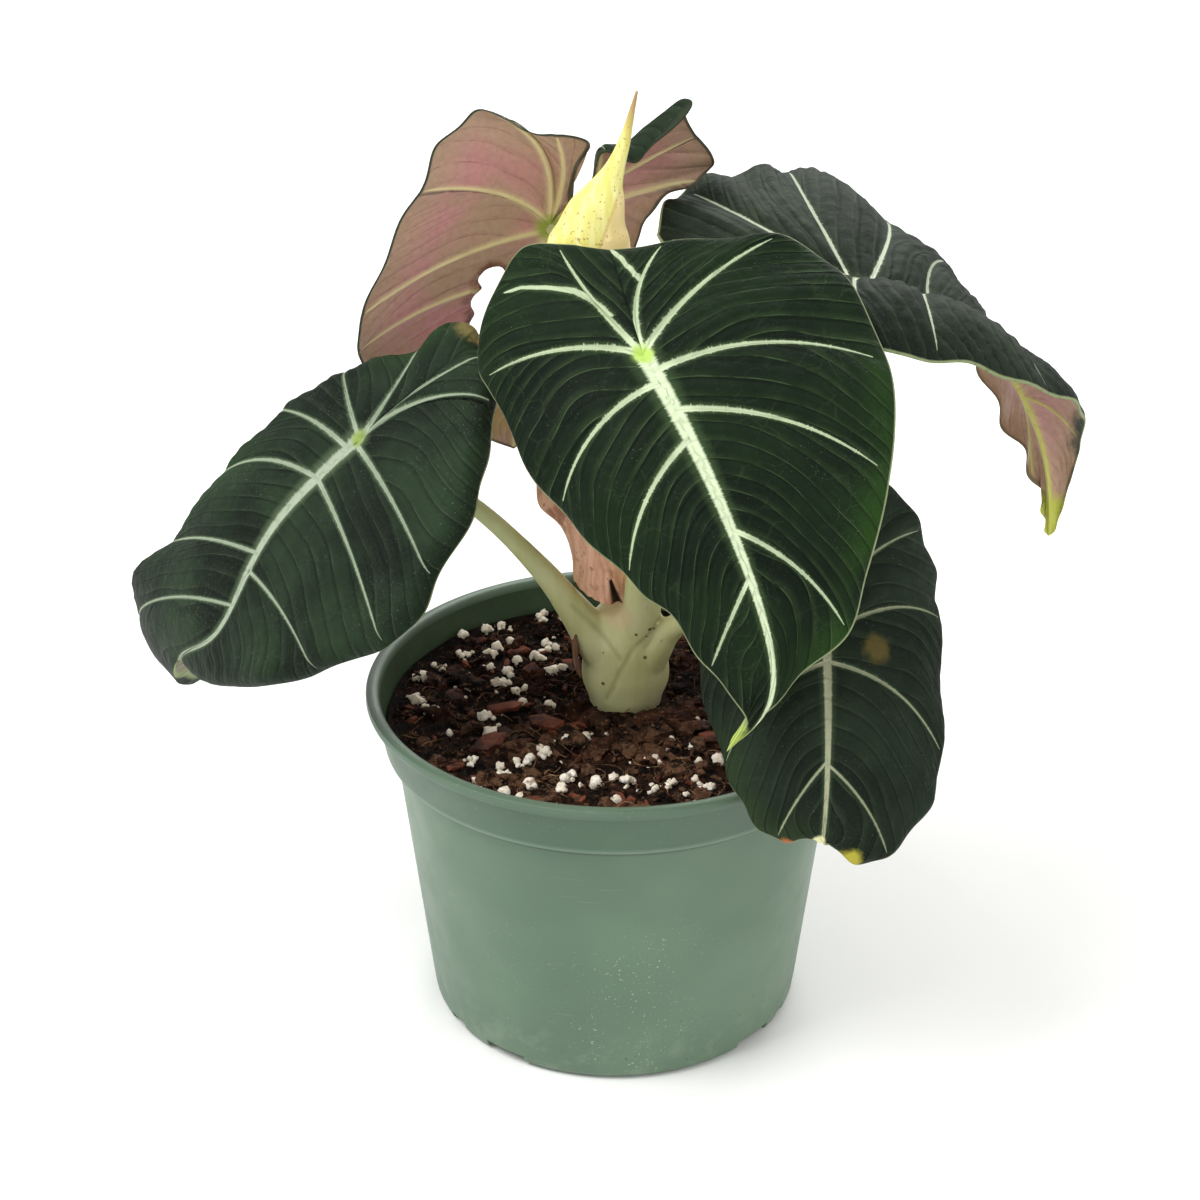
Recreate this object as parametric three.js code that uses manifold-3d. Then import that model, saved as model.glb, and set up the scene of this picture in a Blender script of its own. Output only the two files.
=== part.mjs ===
// Potted black velvet alocasia in a six-inch pot. Millimetres, +Z up, pot foot centred on the origin.
import * as THREE from 'three';
import { mergeVertices } from 'three/addons/utils/BufferGeometryUtils.js';
import Module from 'manifold-3d';

const wasm = await Module();
wasm.setup();
const { Manifold, Mesh: SolidMesh } = wasm;

// Pot
const POT_HEIGHT = 116;
const LIP_RADIUS = 82.5;
const LIP_TOP_WIDTH = 3.2;
const BEAD_HEIGHT = 3.6;
const BAND_BOTTOM = 97.1;
const BAND_TOP_RADIUS = 79.4;
const BAND_LOW_RADIUS = 76.7;
const WALL_TOP_RADIUS = 73.3;
const FOOT_RADIUS = 62.3;
const WALL = 2;
const BASE_LIFT = 4;
const BASE_THICKNESS = 2.5;
const FOOT_PAD_RADIUS = 18;
const FOOT_GAP_HEIGHT = 3.6;
// Gaps through the foot ring: middle angle from the front, width, in degrees
const FOOT_GAPS = [[-58, 8], [-36, 14], [49, 14], [65, 6], [122, 14], [138, 6], [-122, 14], [-138, 6]];
const POT_SIDES = 56;

// Soil
const FIT_GAP = 0.35;
const SOIL_GAP = 0.5;
const SOIL_TOP = 105.2;
const SOIL_SLOPE = -0.016;
const SOIL_ROUGH = 1.3;
const PERLITE_COUNT = 74;
const PERLITE_SIZE = [1.2, 2.7];
const BARK_COUNT = 28;
const BARK_LENGTH = [5, 11];

// Crown
const CROWN_X = 3.4;
const CROWN_Y = 8;
const CROWN_ROOT_Z = 80;
const CROWN_ROOT_RADIUS = 11.9;
const CROWN_DEPTH_SHARE = 0.88;
const CROWN_PROFILE = [
  [108, 12.1], [110.5, 13.8], [114, 14.8], [118, 14.6], [123, 14.1], [129, 13.2], [135, 11.4], [141, 8.2],
  [146, 4.2],
];

// Blades
const BLADE_THICKNESS = 0.8;
const MIDRIB_RISE = [1.5, 0.3];
const VEIN_RISE = 0.7;
const PETIOLE_END_RADIUS = 2;
const RINGS = [0, 0.07, 0.2, 0.38, 0.58, 0.78, 0.91, 1];
const VEIN_STEPS = [0, 0.13, 0.5, 0.87];

// Each blade in its flat form: u runs down the midrib from the petiole, v sideways, in millimetres.
// margin: outline points from the tip round to the sinus; veins: [place on midrib, margin point, back-bow].
const LEAVES = {
  front: {
    node: [8, -35.5, 247.5], face: [-79, 58, 18], length: 129, bend: [46, 14], back: 0,
    sweep: [20, 12], bow: 0, twist: -20, fold: [0, -12], curl: [0, -45], quilt: 1.2,
    roll: [4, 45], rollTip: false, wave: [1.2, 9, 0], sinus: [-40, -9],
    neg: {
      margin: [[124, 12], [118, 5], [110, -6], [102, -23], [87, -35], [67, -50], [54, -59], [32, -69],
        [10, -72], [-8, -71], [-23, -62], [-30, -46], [-35, -28]],
      veins: [[61, 4.0, 4], [21, 6.2, 7], [7, 8.0, 9], [0, 11.0, 5], [0, 13.1, 4]],
    },
    pos: {
      margin: [[125, 18], [119, 13], [108, 18], [95, 23], [80, 27], [69, 33], [55, 39], [38, 45], [18, 50],
        [-6, 50], [-22, 48], [-33, 48], [-44, 34], [-53, 20], [-51, 8]],
      veins: [[76, 3.5, 1], [31, 6.4, 5], [11, 8.4, 6], [0, 11.3, 4], [0, 13.4, 8], [0, 15.2, 2]],
    },
  },
  left: {
    node: [-81, -1, 204], face: [-135, 42, -26], length: 108, bend: [6, 45], back: 10,
    sweep: [4, 3], bow: -13, twist: 8, fold: [7, 10], curl: [-20, -37], quilt: 1.0,
    roll: [10, 110], rollTip: true, wave: [1, 9, 1], sinus: [-52, -1],
    neg: {
      margin: [[105, -12], [96, -26], [86, -37], [70, -50], [57, -57], [44, -63], [32, -68], [18, -68],
        [4, -62], [-15, -55], [-26, -47], [-36, -37], [-46, -26], [-53, -12]],
      veins: [[56, 5.1, 4], [19, 7.0, 4], [2, 8.9, 3], [0, 12.9, 7], [0, 14.2, 3]],
    },
    pos: {
      margin: [[115, 7], [129, 12], [148, 26], [138, 45], [118, 50], [100, 47], [79, 40.5], [62, 40],
        [46, 39.5], [32, 40.5], [18, 41.5], [4, 38], [-8, 34], [-20, 28], [-34, 17], [-47, 16], [-54, 10]],
      veins: [[68, 4.3, 6], [50, 6.5, 3], [19, 8.3, 6], [5, 10.6, 3], [0, 13.0, 0], [0, 15.3, 2]],
    },
  },
  back: {
    node: [-22.2, 51.5, 257.3], face: [112, 18, 3], length: 98, bend: [-10, 18], back: 10,
    sweep: [3, 2], bow: 0, twist: 0, fold: [-4, 2], curl: [0, 0], quilt: 1.5,
    roll: [3, 30], rollTip: false, wave: [1, 9, 1], sinus: [1, 8],
    turnedEdge: { side: 'pos', from: 14.2, to: 18.8, width: 12, angle: 160 },
    neg: {
      margin: [[94, -4], [89, -12], [79, -27], [65, -45], [54, -56], [41, -62], [28, -62], [9, -58],
        [-8, -53.5], [-24, -48], [-38, -45], [-47, -38], [-50, -31], [-45, -22], [-40, -15], [-36, -4],
        [-32, 8], [-21, 6], [-9, 6]],
      veins: [[58, 3.8, 4], [24, 5.8, 8], [3, 7.0, 6], [0, 9.8, 6], [0, 13.0, 9], [0, 16.0, 4]],
    },
    pos: {
      margin: [[94, 9], [88, 14], [78, 23], [62, 31], [45, 35], [26, 31], [10, 35], [0, 36.5], [-6, 42],
        [-10, 50], [-15, 56], [-22, 54], [-31, 46], [-41, 40], [-50, 41], [-44, 33], [-39, 23], [-36, 10],
        [-20, 12], [-9, 12]],
      veins: [[58, 4.0, 4], [24, 6.0, 3], [3, 10.3, 3], [0, 12.8, 2], [0, 14.6, 0], [0, 18.0, -9]],
    },
  },
  right: {
    node: [74.8, 32.3, 244.4], face: [20, 77, 0], length: 141, bend: [80, -2], back: 62,
    sweep: [0, 2], bow: 0, twist: 72, twistPower: 3.5, fold: [26, 28], curl: [-20, -72], quilt: 2.0,
    roll: [3, 30], rollTip: false, wave: [2.0, 13, 0], sinus: [-34, 0],
    neg: {
      margin: [[139, -0.6], [133, -1.4], [124, -4], [113, -13], [104, -27], [90, -40], [68, -38], [46, -49],
        [19, -89], [-1, -76], [-20, -68], [-38, -56.5], [-49, -42], [-54, -26], [-46, -8]],
      veins: [[84, 3.2, 4], [58, 6.2, 5], [30, 7.7, 4], [7, 8.35, -2], [0, 9.35, 6], [0, 11.8, 5],
        [0, 13.8, 3]],
    },
    pos: {
      margin: [[139, 2], [132, 4], [122, 7], [110, 12], [98, 19], [84, 29], [66, 40], [45, 47],
        [24, 49], [4, 52], [-18, 46], [-36, 38], [-49, 30], [-54, 20], [-46, 8]],
      veins: [[84, 4.4, 4], [58, 7.2, 5], [28, 9.55, 6], [3, 10.8, 4], [0, 12.2, 5], [0, 13.8, 3]],
    },
  },
  low: {
    node: [63.7, -58.3, 173.6], face: [-86, 34, 0], length: 72, bend: [-4, 34], back: 5,
    sweep: [3, 2], bow: 0, twist: -10, fold: [0, 0], curl: [-60, -65], quilt: 1.2,
    roll: [4, 50], rollTip: false, wave: [1, 9, 2], sinus: [-30, 0],
    neg: {
      margin: [[76, -2], [81, -8], [80, -16], [74, -24], [66, -32], [57, -38], [41, -42], [22, -45],
        [3, -46], [-7, -45], [-17, -43], [-26, -38], [-34, -33], [-40, -22], [-38, -10]],
      veins: [[47, 3.2, 3], [16, 6.6, 6], [8, 9.0, 6], [0, 12.0, 5]],
    },
    pos: {
      margin: [[72, 9], [74, 15], [72, 22], [65, 28], [56, 33], [44, 38], [26, 44], [10, 47], [-8, 46],
        [-22, 42], [-34, 33], [-40, 22], [-38, 10]],
      veins: [[46, 2.4, 2], [16, 5.6, 6], [6, 7.6, 6], [0, 10.0, 5]],
    },
  },
};

// Petioles: points from inside the crown, then the turn up under the blade; radius at the foot
const PETIOLES = {
  front: { path: [[6, 7, 126], [8, -1, 150], [8, -14, 190], [8, -23, 220]], foot: 4.2 },
  left: { path: [[2, 7, 124], [-14.2, 3, 139.7], [-22.3, 2, 153.3], [-46.1, 1, 180.1]], foot: 4.4 },
  back: { path: [[2, 9, 128], [-2, 11, 150], [-9, 22, 190], [-14, 33, 225]], foot: 4 },
  right: { path: [[6, 9, 126], [14, 10, 150], [36, 14, 198], [58, 18, 226]], foot: 4.2 },
  low: { path: [[8, 6, 120], [17, 1, 131.5], [38, -17, 148], [54, -32, 157]], foot: 4 },
};

// Spathe stalk and hood: sections as [x, y, z, half width, half depth]
const STALK_PATH = [[1, 9, 128], [-1, 12, 155], [-5, 17, 195], [-8.5, 20, 227.5]];
const STALK_RADII = [3, 2.4];
const HOOD = [
  [-8.8, 20, 228.2, 2.6, 2.6], [-9, 20, 232, 6.5, 5.4], [-9.2, 20, 240, 10.6, 7.6],
  [-9.2, 20, 251, 12.8, 8.2], [-8.9, 20, 262.4, 12.6, 7.8], [-8, 20, 268.7, 10.2, 6.9],
  [-6.1, 20, 275.9, 8.2, 5.6], [-3.6, 20, 281.4, 5.3, 4.2], [-0.5, 19.8, 287.6, 3.1, 2.9],
  [2.3, 19, 295.6, 1.9, 1.9], [4.8, 18, 306.2, 0.9, 0.9], [6.1, 17, 312.1, 0.4, 0.4],
];

// Dry sheath: rows up the stems, each from its left edge to its right edge, bulged to the front
const SHEATH_ROWS = [
  [[-12.4, 6, 148.5], [4.6, 5, 143], 6.5], [[-13.6, 8, 151], [4.4, 5, 151], 7],
  [[-14, 10, 158], [3.6, 6, 158], 7.5], [[-17.5, 13, 166.6], [2.5, 7, 166], 7.5],
  [[-24.8, 18, 172], [1.5, 9, 174], 6.5], [[-25.8, 22, 179.8], [0.5, 12, 183], 5],
];
const SHEATH_THICKNESS = 0.7;
const SCALE_ROWS = [
  [[-14.6, 4, 134.5], [-13.0, -1.5, 134], 0.6], [[-14.4, 3.5, 128], [-12.6, -3, 127.5], 0.7],
  [[-13.8, 2.5, 121], [-11.6, -4.2, 119.5], 0.5],
];

const COLOURS = {
  pot: '#6f8775', soil: '#4a3a2c', crown: '#afbe8c', blade: '#22352a', underside: '#a9787a',
  hood: '#efe9a0', sheath: '#b98a6a', scale: '#7a5a40',
};

function vec(p) {
  return new THREE.Vector3(p[0], p[1], p[2]);
}

function rad(degrees) {
  return degrees * Math.PI / 180;
}

// A seeded run of numbers between 0 and 1
function seeded(seed) {
  let state = seed;
  return () => {
    state = (state * 1664525 + 1013904223) % 4294967296;
    return state / 4294967296;
  };
}

function soup(triangles) {
  const flat = [];
  for (const [a, b, c] of triangles) {
    const thin = a.distanceTo(b) < 1e-4 || b.distanceTo(c) < 1e-4 || c.distanceTo(a) < 1e-4;
    if (thin) continue;
    for (const p of [a, b, c]) flat.push(p.x, p.y, p.z);
  }
  const geometry = new THREE.BufferGeometry();
  geometry.setAttribute('position', new THREE.Float32BufferAttribute(flat, 3));
  return mergeVertices(geometry, 1e-4);
}

function signedVolume(geometry) {
  const p = geometry.getAttribute('position');
  const index = geometry.getIndex().array;
  const [a, b, c] = [new THREE.Vector3(), new THREE.Vector3(), new THREE.Vector3()];
  let sum = 0;
  for (let i = 0; i < index.length; i += 3) {
    a.fromBufferAttribute(p, index[i]);
    b.fromBufferAttribute(p, index[i + 1]);
    c.fromBufferAttribute(p, index[i + 2]);
    sum += a.dot(b.cross(c)) / 6;
  }
  return sum;
}

// Makes the faces look outwards
function outward(geometry) {
  if (signedVolume(geometry) > 0) return geometry;
  const index = geometry.getIndex().array;
  for (let i = 0; i < index.length; i += 3) {
    const keep = index[i + 1];
    index[i + 1] = index[i + 2];
    index[i + 2] = keep;
  }
  return geometry;
}

function cleaned(geometry) {
  geometry.deleteAttribute('normal');
  geometry.deleteAttribute('uv');
  return outward(mergeVertices(geometry, 1e-4));
}

function toSolid(geometry) {
  const vertProperties = new Float32Array(geometry.getAttribute('position').array);
  const triVerts = new Uint32Array(geometry.getIndex().array);
  return new Manifold(new SolidMesh({ numProp: 3, vertProperties, triVerts }));
}

function toGeometry(solid) {
  const mesh = solid.getMesh();
  const geometry = new THREE.BufferGeometry();
  geometry.setAttribute('position', new THREE.Float32BufferAttribute(Array.from(mesh.vertProperties), 3));
  geometry.setIndex(Array.from(mesh.triVerts));
  return geometry;
}

// Turned body from a profile of [radius, height] that starts and ends on the axis
function turned(profile, sides) {
  const points = profile.map(([r, z]) => new THREE.Vector2(r, z));
  const geometry = new THREE.LatheGeometry(points, sides);
  geometry.rotateX(Math.PI / 2);
  return geometry;
}

// Closed skin over rings of points, with a point in the middle of each end
function skinned(rings) {
  const triangles = [];
  const count = rings[0].length;
  for (let k = 0; k + 1 < rings.length; k += 1) {
    for (let i = 0; i < count; i += 1) {
      const j = (i + 1) % count;
      const [low, high] = [rings[k], rings[k + 1]];
      triangles.push([low[i], low[j], high[j]], [low[i], high[j], high[i]]);
    }
  }
  for (const [ring, turn] of [[rings[0], true], [rings[rings.length - 1], false]]) {
    const middle = ring.reduce((sum, p) => sum.add(p), new THREE.Vector3()).divideScalar(count);
    for (let i = 0; i < count; i += 1) {
      const j = (i + 1) % count;
      triangles.push(turn ? [middle, ring[j], ring[i]] : [middle, ring[i], ring[j]]);
    }
  }
  return outward(soup(triangles));
}

// Round stem along a smooth path
function stem(path, footRadius, endRadius, steps, sides) {
  const curve = new THREE.CatmullRomCurve3(path.map(vec), false, 'centripetal');
  const frames = curve.computeFrenetFrames(steps, false);
  const rings = [];
  for (let k = 0; k <= steps; k += 1) {
    const middle = curve.getPointAt(k / steps);
    const radius = endRadius + (footRadius - endRadius) * (1 - k / steps) ** 1.6;
    const ring = [];
    for (let i = 0; i < sides; i += 1) {
      const angle = 2 * Math.PI * i / sides;
      const out = frames.normals[k].clone().multiplyScalar(Math.cos(angle));
      out.addScaledVector(frames.binormals[k], Math.sin(angle));
      ring.push(middle.clone().addScaledVector(out, radius));
    }
    rings.push(ring);
  }
  return skinned(rings);
}

// Pot

function potWallRadius(z) {
  const share = (z - BASE_LIFT) / (BAND_BOTTOM - 0.9 - BASE_LIFT);
  return FOOT_RADIUS + (WALL_TOP_RADIUS - FOOT_RADIUS) * share;
}

function potInnerProfile(gap) {
  const floor = BASE_LIFT + BASE_THICKNESS + gap;
  const low = potWallRadius(floor) - WALL - gap;
  return [
    [BAND_LOW_RADIUS - 1.5 - gap, BAND_BOTTOM + 1.4], [WALL_TOP_RADIUS - WALL - gap, BAND_BOTTOM - 2.6],
    [low + 0.2, floor + 1.8], [low - 1.9, floor], [0, floor],
  ];
}

function potGeometry() {
  const inLip = LIP_RADIUS - LIP_TOP_WIDTH;
  const profile = [
    [0, 0], [FOOT_PAD_RADIUS, 0], [FOOT_PAD_RADIUS + 0.8, 0.8], [FOOT_PAD_RADIUS + 2, BASE_LIFT],
    [FOOT_RADIUS - 9, BASE_LIFT], [FOOT_RADIUS - 7.6, 0.8], [FOOT_RADIUS - 7, 0],
    [FOOT_RADIUS - 2.6, 0], [FOOT_RADIUS - 0.8, 1.2], [FOOT_RADIUS, BASE_LIFT],
    [WALL_TOP_RADIUS, BAND_BOTTOM - 0.9], [BAND_LOW_RADIUS, BAND_BOTTOM],
    [BAND_TOP_RADIUS, POT_HEIGHT - BEAD_HEIGHT - 0.7], [LIP_RADIUS - 1, POT_HEIGHT - BEAD_HEIGHT],
    [LIP_RADIUS, POT_HEIGHT - BEAD_HEIGHT + 0.9], [LIP_RADIUS, POT_HEIGHT - 1.1],
    [LIP_RADIUS - 1, POT_HEIGHT], [inLip + 0.3, POT_HEIGHT], [inLip - 1.3, POT_HEIGHT - 1.5],
    ...potInnerProfile(0),
  ];
  let pot = toSolid(cleaned(turned(profile, POT_SIDES)));
  for (const [middle, width] of FOOT_GAPS) {
    const span = 2 * FOOT_RADIUS * Math.tan(rad(width) / 2);
    const box = new THREE.BoxGeometry(span, 14, FOOT_GAP_HEIGHT * 2);
    box.translate(0, -FOOT_RADIUS + 2, 0);
    box.rotateZ(rad(middle));
    pot = pot.subtract(toSolid(cleaned(box)));
  }
  return toGeometry(pot);
}

// Soil

function soilHeight(x, y) {
  const swell = Math.sin(x * 0.11 + 1.3) * Math.cos(y * 0.13 - 0.4) + 0.6 * Math.sin(x * 0.31 - y * 0.27);
  return SOIL_TOP + SOIL_SLOPE * y + SOIL_ROUGH * 0.6 * swell;
}

function soilBody() {
  const sides = 40;
  const random = seeded(41);
  const rimRadius = BAND_LOW_RADIUS - 1.5 - SOIL_GAP + 0.174 * (SOIL_TOP - BAND_BOTTOM - 2.6);
  const radii = [rimRadius, 69, 61, 53, 45, 37, 29, 22, 15, 8];
  const rings = radii.map((radius, k) => {
    const ring = [];
    for (let i = 0; i < sides; i += 1) {
      const angle = 2 * Math.PI * (i + (k ? 0.5 * (random() - 0.5) : 0)) / sides;
      const far = k ? radius + 3 * (random() - 0.5) : radius;
      const [x, y] = [far * Math.cos(angle), far * Math.sin(angle)];
      const lift = k ? SOIL_ROUGH * (random() - 0.5) : 0;
      ring.push(new THREE.Vector3(x, y, soilHeight(x, y) + lift));
    }
    return ring;
  });
  const below = potInnerProfile(SOIL_GAP).slice(0, 4).map(([radius, z]) => {
    const ring = [];
    for (let i = 0; i < sides; i += 1) {
      const angle = 2 * Math.PI * i / sides;
      ring.push(new THREE.Vector3(radius * Math.cos(angle), radius * Math.sin(angle), z));
    }
    return ring;
  });
  return toSolid(skinned([...below.reverse(), ...rings]));
}

// A free place on the soil: more of them at the back left and at the front, none at the crown
function soilPlace(random) {
  for (;;) {
    const angle = 2 * Math.PI * random();
    const radius = 73 * Math.sqrt(random());
    const [x, y] = [radius * Math.cos(angle), radius * Math.sin(angle)];
    const favour = 0.35 + 0.65 * Math.max(0, Math.cos(angle - rad(150)), Math.cos(angle + rad(100)));
    if (Math.hypot(x - CROWN_X, y - CROWN_Y) > 20 && random() < favour) return [x, y];
  }
}

function grain(random) {
  const size = PERLITE_SIZE[0] + (PERLITE_SIZE[1] - PERLITE_SIZE[0]) * random() ** 1.5;
  const shape = size > 1.9 ? new THREE.IcosahedronGeometry(size, 0) : new THREE.OctahedronGeometry(size, 0);
  shape.scale(1, 0.75 + 0.35 * random(), 0.7 + 0.3 * random());
  shape.rotateX(6 * random());
  shape.rotateZ(6 * random());
  const [x, y] = soilPlace(random);
  shape.translate(x, y, soilHeight(x, y) + size * 0.3);
  return toSolid(cleaned(shape));
}

function chip(random) {
  const length = BARK_LENGTH[0] + (BARK_LENGTH[1] - BARK_LENGTH[0]) * random();
  const shape = new THREE.BoxGeometry(length, length * (0.35 + 0.25 * random()), 1.8 + random());
  shape.rotateY(0.35 * (random() - 0.5));
  shape.rotateX(0.5 * (random() - 0.5));
  shape.rotateZ(Math.PI * random());
  const [x, y] = soilPlace(random);
  const share = Math.min(1, (72 - length / 2) / Math.hypot(x, y));
  shape.translate(x * share, y * share, soilHeight(x, y) + 0.4);
  return toSolid(cleaned(shape));
}

function soilGeometry() {
  const pieces = [soilBody()];
  const random = seeded(7);
  for (let i = 0; i < PERLITE_COUNT; i += 1) pieces.push(grain(random));
  for (let i = 0; i < BARK_COUNT; i += 1) pieces.push(chip(random));
  const hole = turned([[0, CROWN_ROOT_Z - FIT_GAP], [CROWN_ROOT_RADIUS + 0.2 + FIT_GAP, CROWN_ROOT_Z - FIT_GAP],
    [CROWN_ROOT_RADIUS + 0.2 + FIT_GAP, 130], [0, 130]], 20);
  hole.translate(CROWN_X, CROWN_Y, 0);
  return toGeometry(largestPiece(Manifold.union(pieces).subtract(toSolid(cleaned(hole)))));
}

// Blade surface

// Directions of a blade at its petiole: down the midrib, to the side, and up from its face
function bladeFrame([azimuth, elevation, spin]) {
  const [az, el, sp] = [rad(azimuth), rad(elevation), rad(spin)];
  const up = vec([Math.cos(el) * Math.cos(az), Math.cos(el) * Math.sin(az), Math.sin(el)]);
  const down = vec([Math.sin(el) * Math.cos(az), Math.sin(el) * Math.sin(az), -Math.cos(el)]);
  const along = down.clone().multiplyScalar(Math.cos(sp));
  along.addScaledVector(up.clone().cross(down), Math.sin(sp));
  return { along, side: along.clone().cross(up), up };
}

function bendAngle(leaf, u) {
  const x = u / leaf.length;
  if (x < 0) return rad(leaf.back * x);
  return rad(leaf.bend[0] * x + leaf.bend[1] * x ** 3);
}

// Place of the bent midrib: run and drop at u, summed in equal steps from the petiole
function midribPlace(leaf, u) {
  const steps = Math.max(1, Math.ceil(Math.abs(u) / 2));
  const step = u / steps;
  let [run, drop] = [0, 0];
  for (let i = 0; i < steps; i += 1) {
    const angle = bendAngle(leaf, (i + 0.5) * step);
    run += Math.cos(angle) * step;
    drop += Math.sin(angle) * step;
  }
  return [run, drop];
}

// Sideways place of the midrib in the flat form
function midribLine(leaf, u) {
  const x = Math.max(u / leaf.length, 0);
  const arch = leaf.bow * Math.sin(Math.PI * Math.min(x, 1) ** 2) ** 2;
  return leaf.sweep[0] * x ** leaf.sweep[1] + arch;
}

function onBlade(leaf, u, v) {
  const { along, side, up } = leaf.frame;
  const angle = bendAngle(leaf, u);
  const [run, drop] = midribPlace(leaf, u);
  const normal = along.clone().multiplyScalar(Math.sin(angle)).addScaledVector(up, Math.cos(angle));
  const place = vec(leaf.node).addScaledVector(along, run).addScaledVector(up, -drop);
  const turn = rad(leaf.twist * Math.max(u / leaf.length, 0) ** (leaf.twistPower ?? 2));
  const across = side.clone().multiplyScalar(Math.cos(turn)).addScaledVector(normal, Math.sin(turn));
  const above = side.clone().multiplyScalar(-Math.sin(turn)).addScaledVector(normal, Math.cos(turn));
  const middle = midribLine(leaf, u);
  const width = Math.abs(v - middle);
  const half = v > middle ? 1 : 0;
  let [lateral, lift] = [0, 0];
  for (let k = 0; k < 16; k += 1) {
    const slope = rad(leaf.fold[half] + leaf.curl[half] * (k + 0.5) / 16 * width / 50);
    lateral += Math.cos(slope) * width / 16;
    lift += Math.sin(slope) * width / 16;
  }
  place.addScaledVector(across, middle + (half ? lateral : -lateral));
  return place.addScaledVector(above, lift);
}

function bladeNormal(leaf, u, v) {
  const reach = 0.2;
  const alongU = onBlade(leaf, u + reach, v).sub(onBlade(leaf, u - reach, v));
  const alongV = onBlade(leaf, u, v + reach).sub(onBlade(leaf, u, v - reach));
  return alongV.cross(alongU).normalize();
}

// Smooth line through the margin points; t counts points
function marginPoint(points, t) {
  const last = points.length - 1;
  const place = Math.min(Math.max(t, 0), last - 1e-9);
  const i = Math.floor(place);
  const x = place - i;
  const at = (k) => {
    if (k < 0) return [2 * points[0][0] - points[1][0], 2 * points[0][1] - points[1][1]];
    if (k <= last) return points[k];
    return [2 * points[last][0] - points[last - 1][0], 2 * points[last][1] - points[last - 1][1]];
  };
  const [a, b, c, d] = [at(i - 1), at(i), at(i + 1), at(i + 2)];
  return [0, 1].map((k) => 0.5 * (2 * b[k] + (c[k] - a[k]) * x
    + (2 * a[k] - 5 * b[k] + 4 * c[k] - d[k]) * x * x + (3 * b[k] - a[k] - 3 * c[k] + d[k]) * x ** 3));
}

function marginOf(leaf, half) {
  return [[leaf.length, midribLine(leaf, leaf.length)], ...leaf[half].margin, leaf.sinus];
}

// Lines from the midrib to the margin, the veins among them.
// Each line: place on the midrib, margin count, back-bow, share of the way to the next vein.
function spokesOf(leaf, half) {
  const last = leaf[half].margin.length + 1;
  const marks = [[0.93 * leaf.length, 0, 0], ...leaf[half].veins, [0, last, 0]];
  const spokes = [];
  for (let i = 0; i + 1 < marks.length; i += 1) {
    for (const share of VEIN_STEPS) {
      const [station, margin, bow] = marks[i].map((value, k) => value + (marks[i + 1][k] - value) * share);
      spokes.push({ station, margin, bow, share, first: i === 0, end: i === marks.length - 2 });
    }
  }
  spokes.push({ station: 0, margin: last, bow: 0, share: 0, first: false, end: true, closing: true });
  return spokes;
}

function spokePoint(start, end, bow, sign, ring) {
  const [du, dv] = [end[0] - start[0], end[1] - start[1]];
  const length = Math.max(Math.hypot(du, dv), 1e-6);
  const bend = [start[0] + du / 2 - 2 * bow * Math.abs(dv) / length,
    start[1] + dv / 2 + 2 * bow * sign * du / length];
  const [p, q, r] = [(1 - ring) ** 2, 2 * ring * (1 - ring), ring * ring];
  return [p * start[0] + q * bend[0] + r * end[0], p * start[1] + q * bend[1] + r * end[1]];
}

// How the last strip of a spoke turns under: width and angle
function rollAt(leaf, half, spoke) {
  if (spoke.margin === 0 && !leaf.rollTip) return [0, 0];
  const turned = leaf.turnedEdge;
  if (!turned || turned.side !== half) return leaf.roll;
  const share = (spoke.margin - turned.from) / (turned.to - turned.from);
  if (share <= 0 || share >= 1) return leaf.roll;
  const part = Math.sin(Math.PI * share) ** 0.8;
  return [leaf.roll[0] + (turned.width - leaf.roll[0]) * part, leaf.roll[1] + (turned.angle - leaf.roll[1]) * part];
}

// Swell between the veins and rise of the vein itself, both as shares
function reliefAt(spoke, ring) {
  const swell = spoke.closing ? 0 : Math.sin(Math.PI * spoke.share) * Math.sin(Math.PI * ring) ** 0.7;
  const onVein = spoke.share === 0 && !spoke.first && !spoke.closing;
  return { swell: spoke.first || spoke.end ? 0.5 * swell : swell, vein: onVein ? 1 - 0.75 * ring : 0 };
}

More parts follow.
